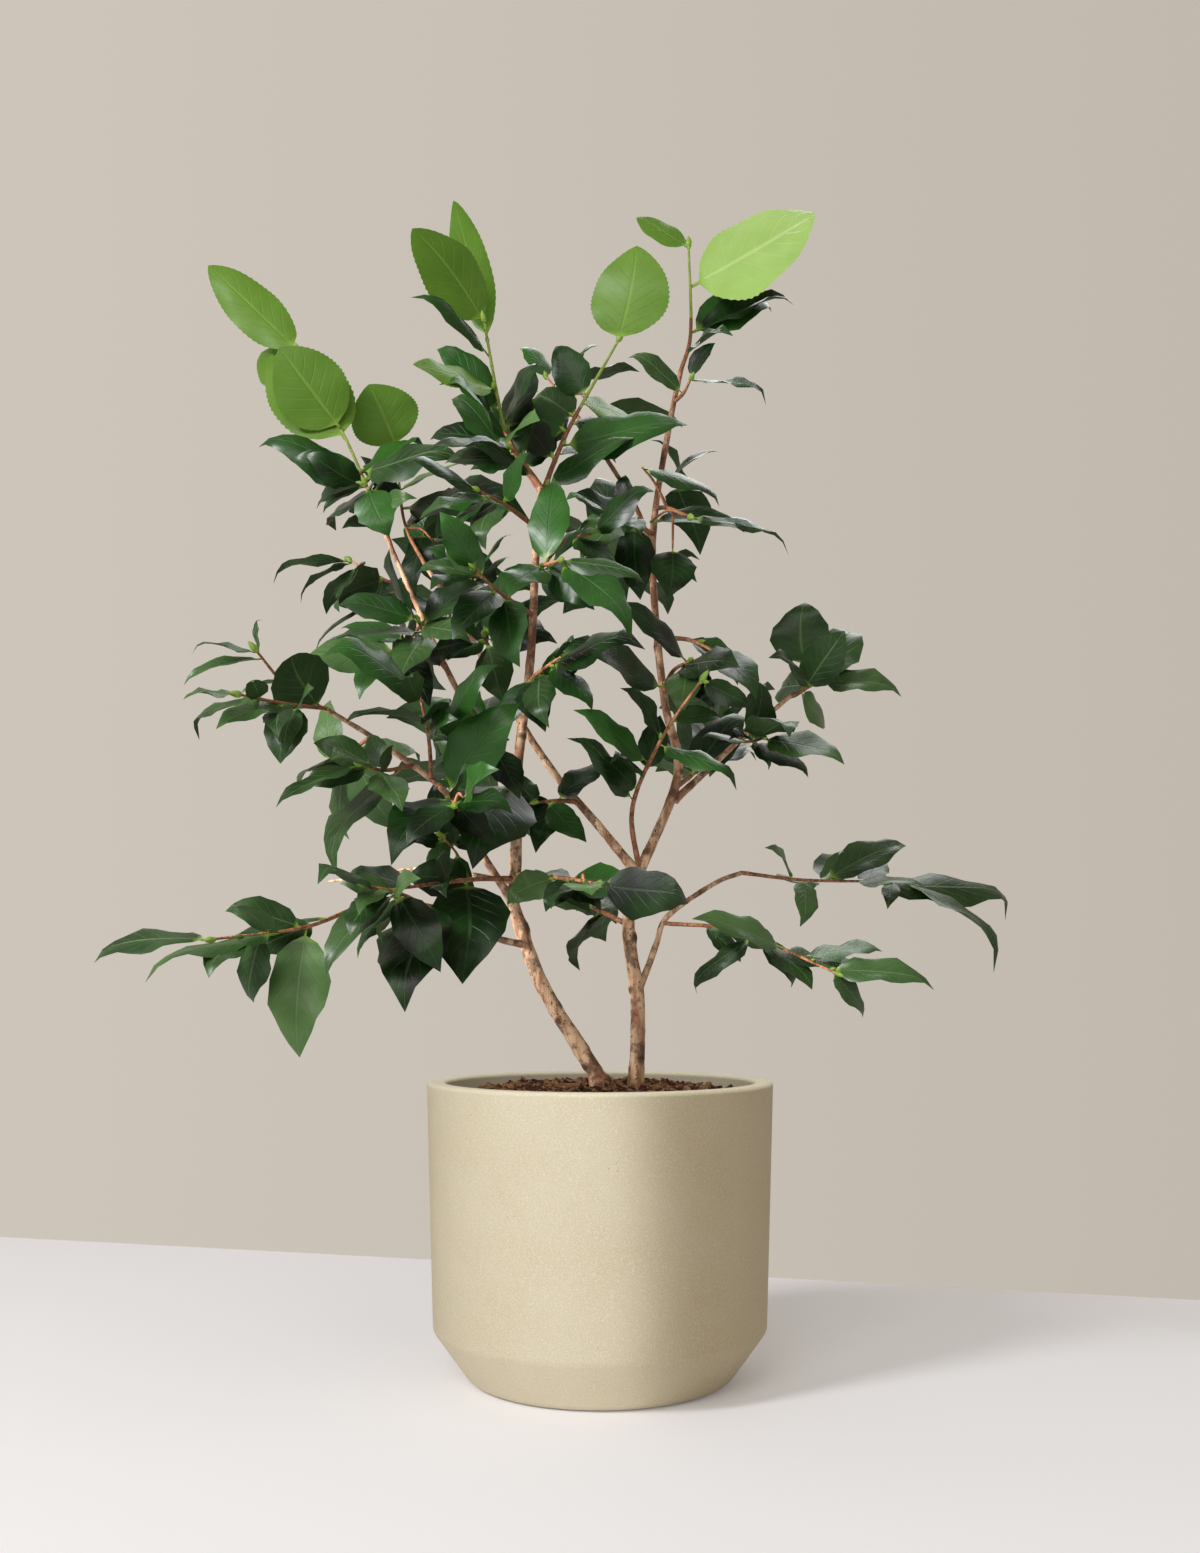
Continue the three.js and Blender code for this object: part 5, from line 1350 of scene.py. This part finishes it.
def budItems():
    random, items = np.random.RandomState(buds["seed"]), []

    def put(place, along, scale):
        along = unit(along)
        up = squareTo(sky + random.uniform(-buds["turn"], buds["turn"], 3), along)
        length = random.uniform(*buds["length"]) * scale * metre
        items.append((place * metre, (cross(along, up), along, up), (length,) * 3, 0, buds["shade"]))

    for mass in grown:
        end, along = mass["curve"].point(1), mass["curve"].tangent(1)
        back, scale = buds["atEnd"]
        put(end - along * back, along, scale)
        if random.rand() < buds["besideShare"]:
            back, scale = buds["beside"]
            aside = random.uniform(-buds["besideTurn"], buds["besideTurn"], 3)
            put(end - along * back, along + aside, scale)
    for leaf in leaves:
        if random.rand() < buds["jointShare"]:
            along, (on, scale) = unit(leaf["tip"] - leaf["root"]), buds["inJoint"]
            aside = random.uniform(-buds["jointTurn"], buds["jointTurn"], 3)
            put(leaf["root"] + along * on, along + leaf["facing"] * buds["jointLean"] + aside, scale)
    return items


budMaterial = leafMaterial("budScales", *buds["colours"])
budPiece = grownMesh("buds", pointsFor("budPlaces", budItems()), leafPlanting, Shapes=budShape(),
                     Face=budMaterial, Underside=budMaterial)
finish(budPiece, "foliage", *foliage)

for spare in [knotObject, *[item for item in bpy.data.objects if not item.users_scene]]:
    bpy.data.objects.remove(spare)


# Floor, backdrop and light, in metres. The floor ends along a line through the two places in "edge".
stage = dict(floorColour="f7f8ff", clouds=1.2, cloudShade=0.985, edge=((-0.698, 0.613), (0.560, 0.268)),
             reach=4.0, wallLeft="cdc5ba", wallRight="c1b9ad", wallHalf=6, wallLow=-3, wallHigh=6,
             wallDistance=3.2, wallTurn=-0.1, shadeFrom=-1.6, shadeTo=1.6)
lamps = [  # a lamp shines on everything, but for the pieces in "never", or on "only" some pieces
    dict(name="key", kind="AREA", place=(-2.05, -1.6, 1.95), aim=(0, 0, 0.35), size=0.65, power=44,
         colour=(1, 1, 1), never=["planterShell"]),
    dict(name="front", kind="AREA", place=(-0.7, -2.4, 1.9), aim=(0, 0, 0.5), size=1.6, power=18,
         colour=(1, 0.97, 0.93)),
    dict(name="planterSpot", kind="SPOT", place=(-0.7, -1.95, 0.14), edge=(0.056, -0.115, 0.11),
         halfAngle=0.42, blend=0.07, power=145, size=0.02, colour=(0.764, 0.847, 1), only=["planterShell"]),
    dict(name="woodSide", kind="AREA", place=(-1.5, -0.8, 0.7), aim=(0, 0, 0.45), size=0.3, power=50,
         colour=(1, 0.96, 0.9), only=["barkLimbs", "twigsBrown"]),
    dict(name="sheen", kind="AREA", place=(0.3, 1.1, 1.9), aim=(0, 0, 0.6), size=1.3, power=16,
         colour=(0.96, 1, 1), only=["leavesDeep", "leavesMid", "leavesYoung", "leavesFresh"]),
    dict(name="rim", kind="AREA", place=(-0.15, -0.25, 1.6), aim=(0, 0, 0.2), size=0.3, power=24,
         colour=(0.8, 0.88, 1), only=["planterShell"], shadows=["planterShell"]),
    dict(name="leafSide", kind="AREA", place=(-1.6, -1.2, 1.5), aim=(0, 0, 0.6), size=1.1, power=33,
         colour=(1, 1, 1), only=["leavesDeep", "leavesMid"]),
    dict(name="floorFill", kind="AREA", place=(0.9, -0.6, 2.2), aim=(0.7, -0.2, 0), size=1.5, power=5.5,
         colour=(1, 1, 1), only=["floor"], shadows=["floor"])]
worldLight = dict(colour="f4ead9", strength=0.47)


def stagePlane(name, corners, material):
    mesh = meshOf(name, corners, [tuple(range(len(corners)))], smooth=False)
    mesh.materials.append(material)
    linked(name, mesh)


def floorMaterial(s=stage):
    material, tree, shader = newMaterial("studioFloor", 0.7, **{"Specular IOR Level": 0.15})
    soft = rangeNode(tree, noiseNode(tree, objectPlace(tree), s["clouds"], 2), 0.3, 0.7)
    tint = hexColour(s["floorColour"])
    darker = tuple(c * s["cloudShade"] for c in tint)
    tree.links.new(mixNode(tree, soft, tint, darker), shader.inputs["Base Color"])
    return material


def wallMaterial(s=stage):  # a glowing wall, evenly bright, with painted shade a little darker to the right
    glow = {"Specular IOR Level": 0, "Emission Strength": 1}
    material, tree, shader = newMaterial("studioWall", 1, **glow)
    shader.inputs["Base Color"].default_value = (0, 0, 0, 1)
    across = addNode(tree, "ShaderNodeSeparateXYZ", {0: objectPlace(tree)}).outputs["X"]
    # painted shade: the glow dims from left to right
    share = rangeNode(tree, across, s["shadeFrom"], s["shadeTo"])
    shaded = mixNode(tree, share, hexColour(s["wallLeft"]), hexColour(s["wallRight"]))
    tree.links.new(shaded, shader.inputs["Emission Color"])
    return material


def addStage(s=stage):
    (x0, y0), (x1, y1) = s["edge"]
    slope, far = (y1 - y0) / (x1 - x0), s["reach"]
    back = [(x, y0 + slope * (x - x0), 0) for x in (far, -far)]
    stagePlane("floor", [(-far, -far, 0), (far, -far, 0), *back], floorMaterial())
    left, right = [(x, s["wallDistance"] + x * s["wallTurn"]) for x in (-s["wallHalf"], s["wallHalf"])]
    low, high = s["wallLow"], s["wallHigh"]
    stagePlane("backdrop", [(*left, low), (*right, low), (*right, high), (*left, high)], wallMaterial())


def piecesFor(bulb, names):
    chosen = bpy.data.collections.new(bulb.name + "Pieces")
    for name in names:
        chosen.objects.link(bpy.data.objects[name])
    return chosen


def addLamp(lamp):
    data = bpy.data.lights.new(lamp["name"], lamp["kind"])
    data.energy, data.color = lamp["power"], lamp["colour"]
    place = Vector(lamp["place"])
    if lamp["kind"] == "SPOT":  # its round edge goes through the place "edge"
        data.shadow_soft_size, data.spot_blend = lamp["size"], lamp["blend"]
        data.spot_size = 2 * lamp["halfAngle"]
        toEdge = (Vector(lamp["edge"]) - place).normalized()
        aim = place + Matrix.Rotation(lamp["halfAngle"], 3, (0, 0, 1)) @ toEdge
    else:
        data.shape, data.size = "DISK", lamp["size"]
        aim = Vector(lamp["aim"])
    bulb = bpy.data.objects.new(lamp["name"], data)
    bulb.location = place
    bulb.rotation_euler = (aim - place).to_track_quat("-Z", "Y").to_euler()
    bpy.context.scene.collection.objects.link(bulb)
    for key, state in (("only", "INCLUDE"), ("never", "EXCLUDE")):
        if key in lamp:
            bulb.light_linking.receiver_collection = piecesFor(bulb, lamp[key])
            for item in bulb.light_linking.receiver_collection.collection_objects:
                item.light_linking.link_state = state
    if "shadows" in lamp:  # only these pieces cast this lamp's shadows
        bulb.light_linking.blocker_collection = piecesFor(bulb, lamp["shadows"])


def addWorld():
    world = bpy.data.worlds.new("studio")
    world.use_nodes = True
    back = world.node_tree.nodes["Background"]
    back.inputs["Color"].default_value = (*hexColour(worldLight["colour"]), 1)
    back.inputs["Strength"].default_value = worldLight["strength"]
    bpy.context.scene.world = world
    bpy.context.scene.view_settings.view_transform = "Standard"


addStage()
for lamp in lamps:
    addLamp(lamp)
addWorld()
say("floor, backdrop and light")
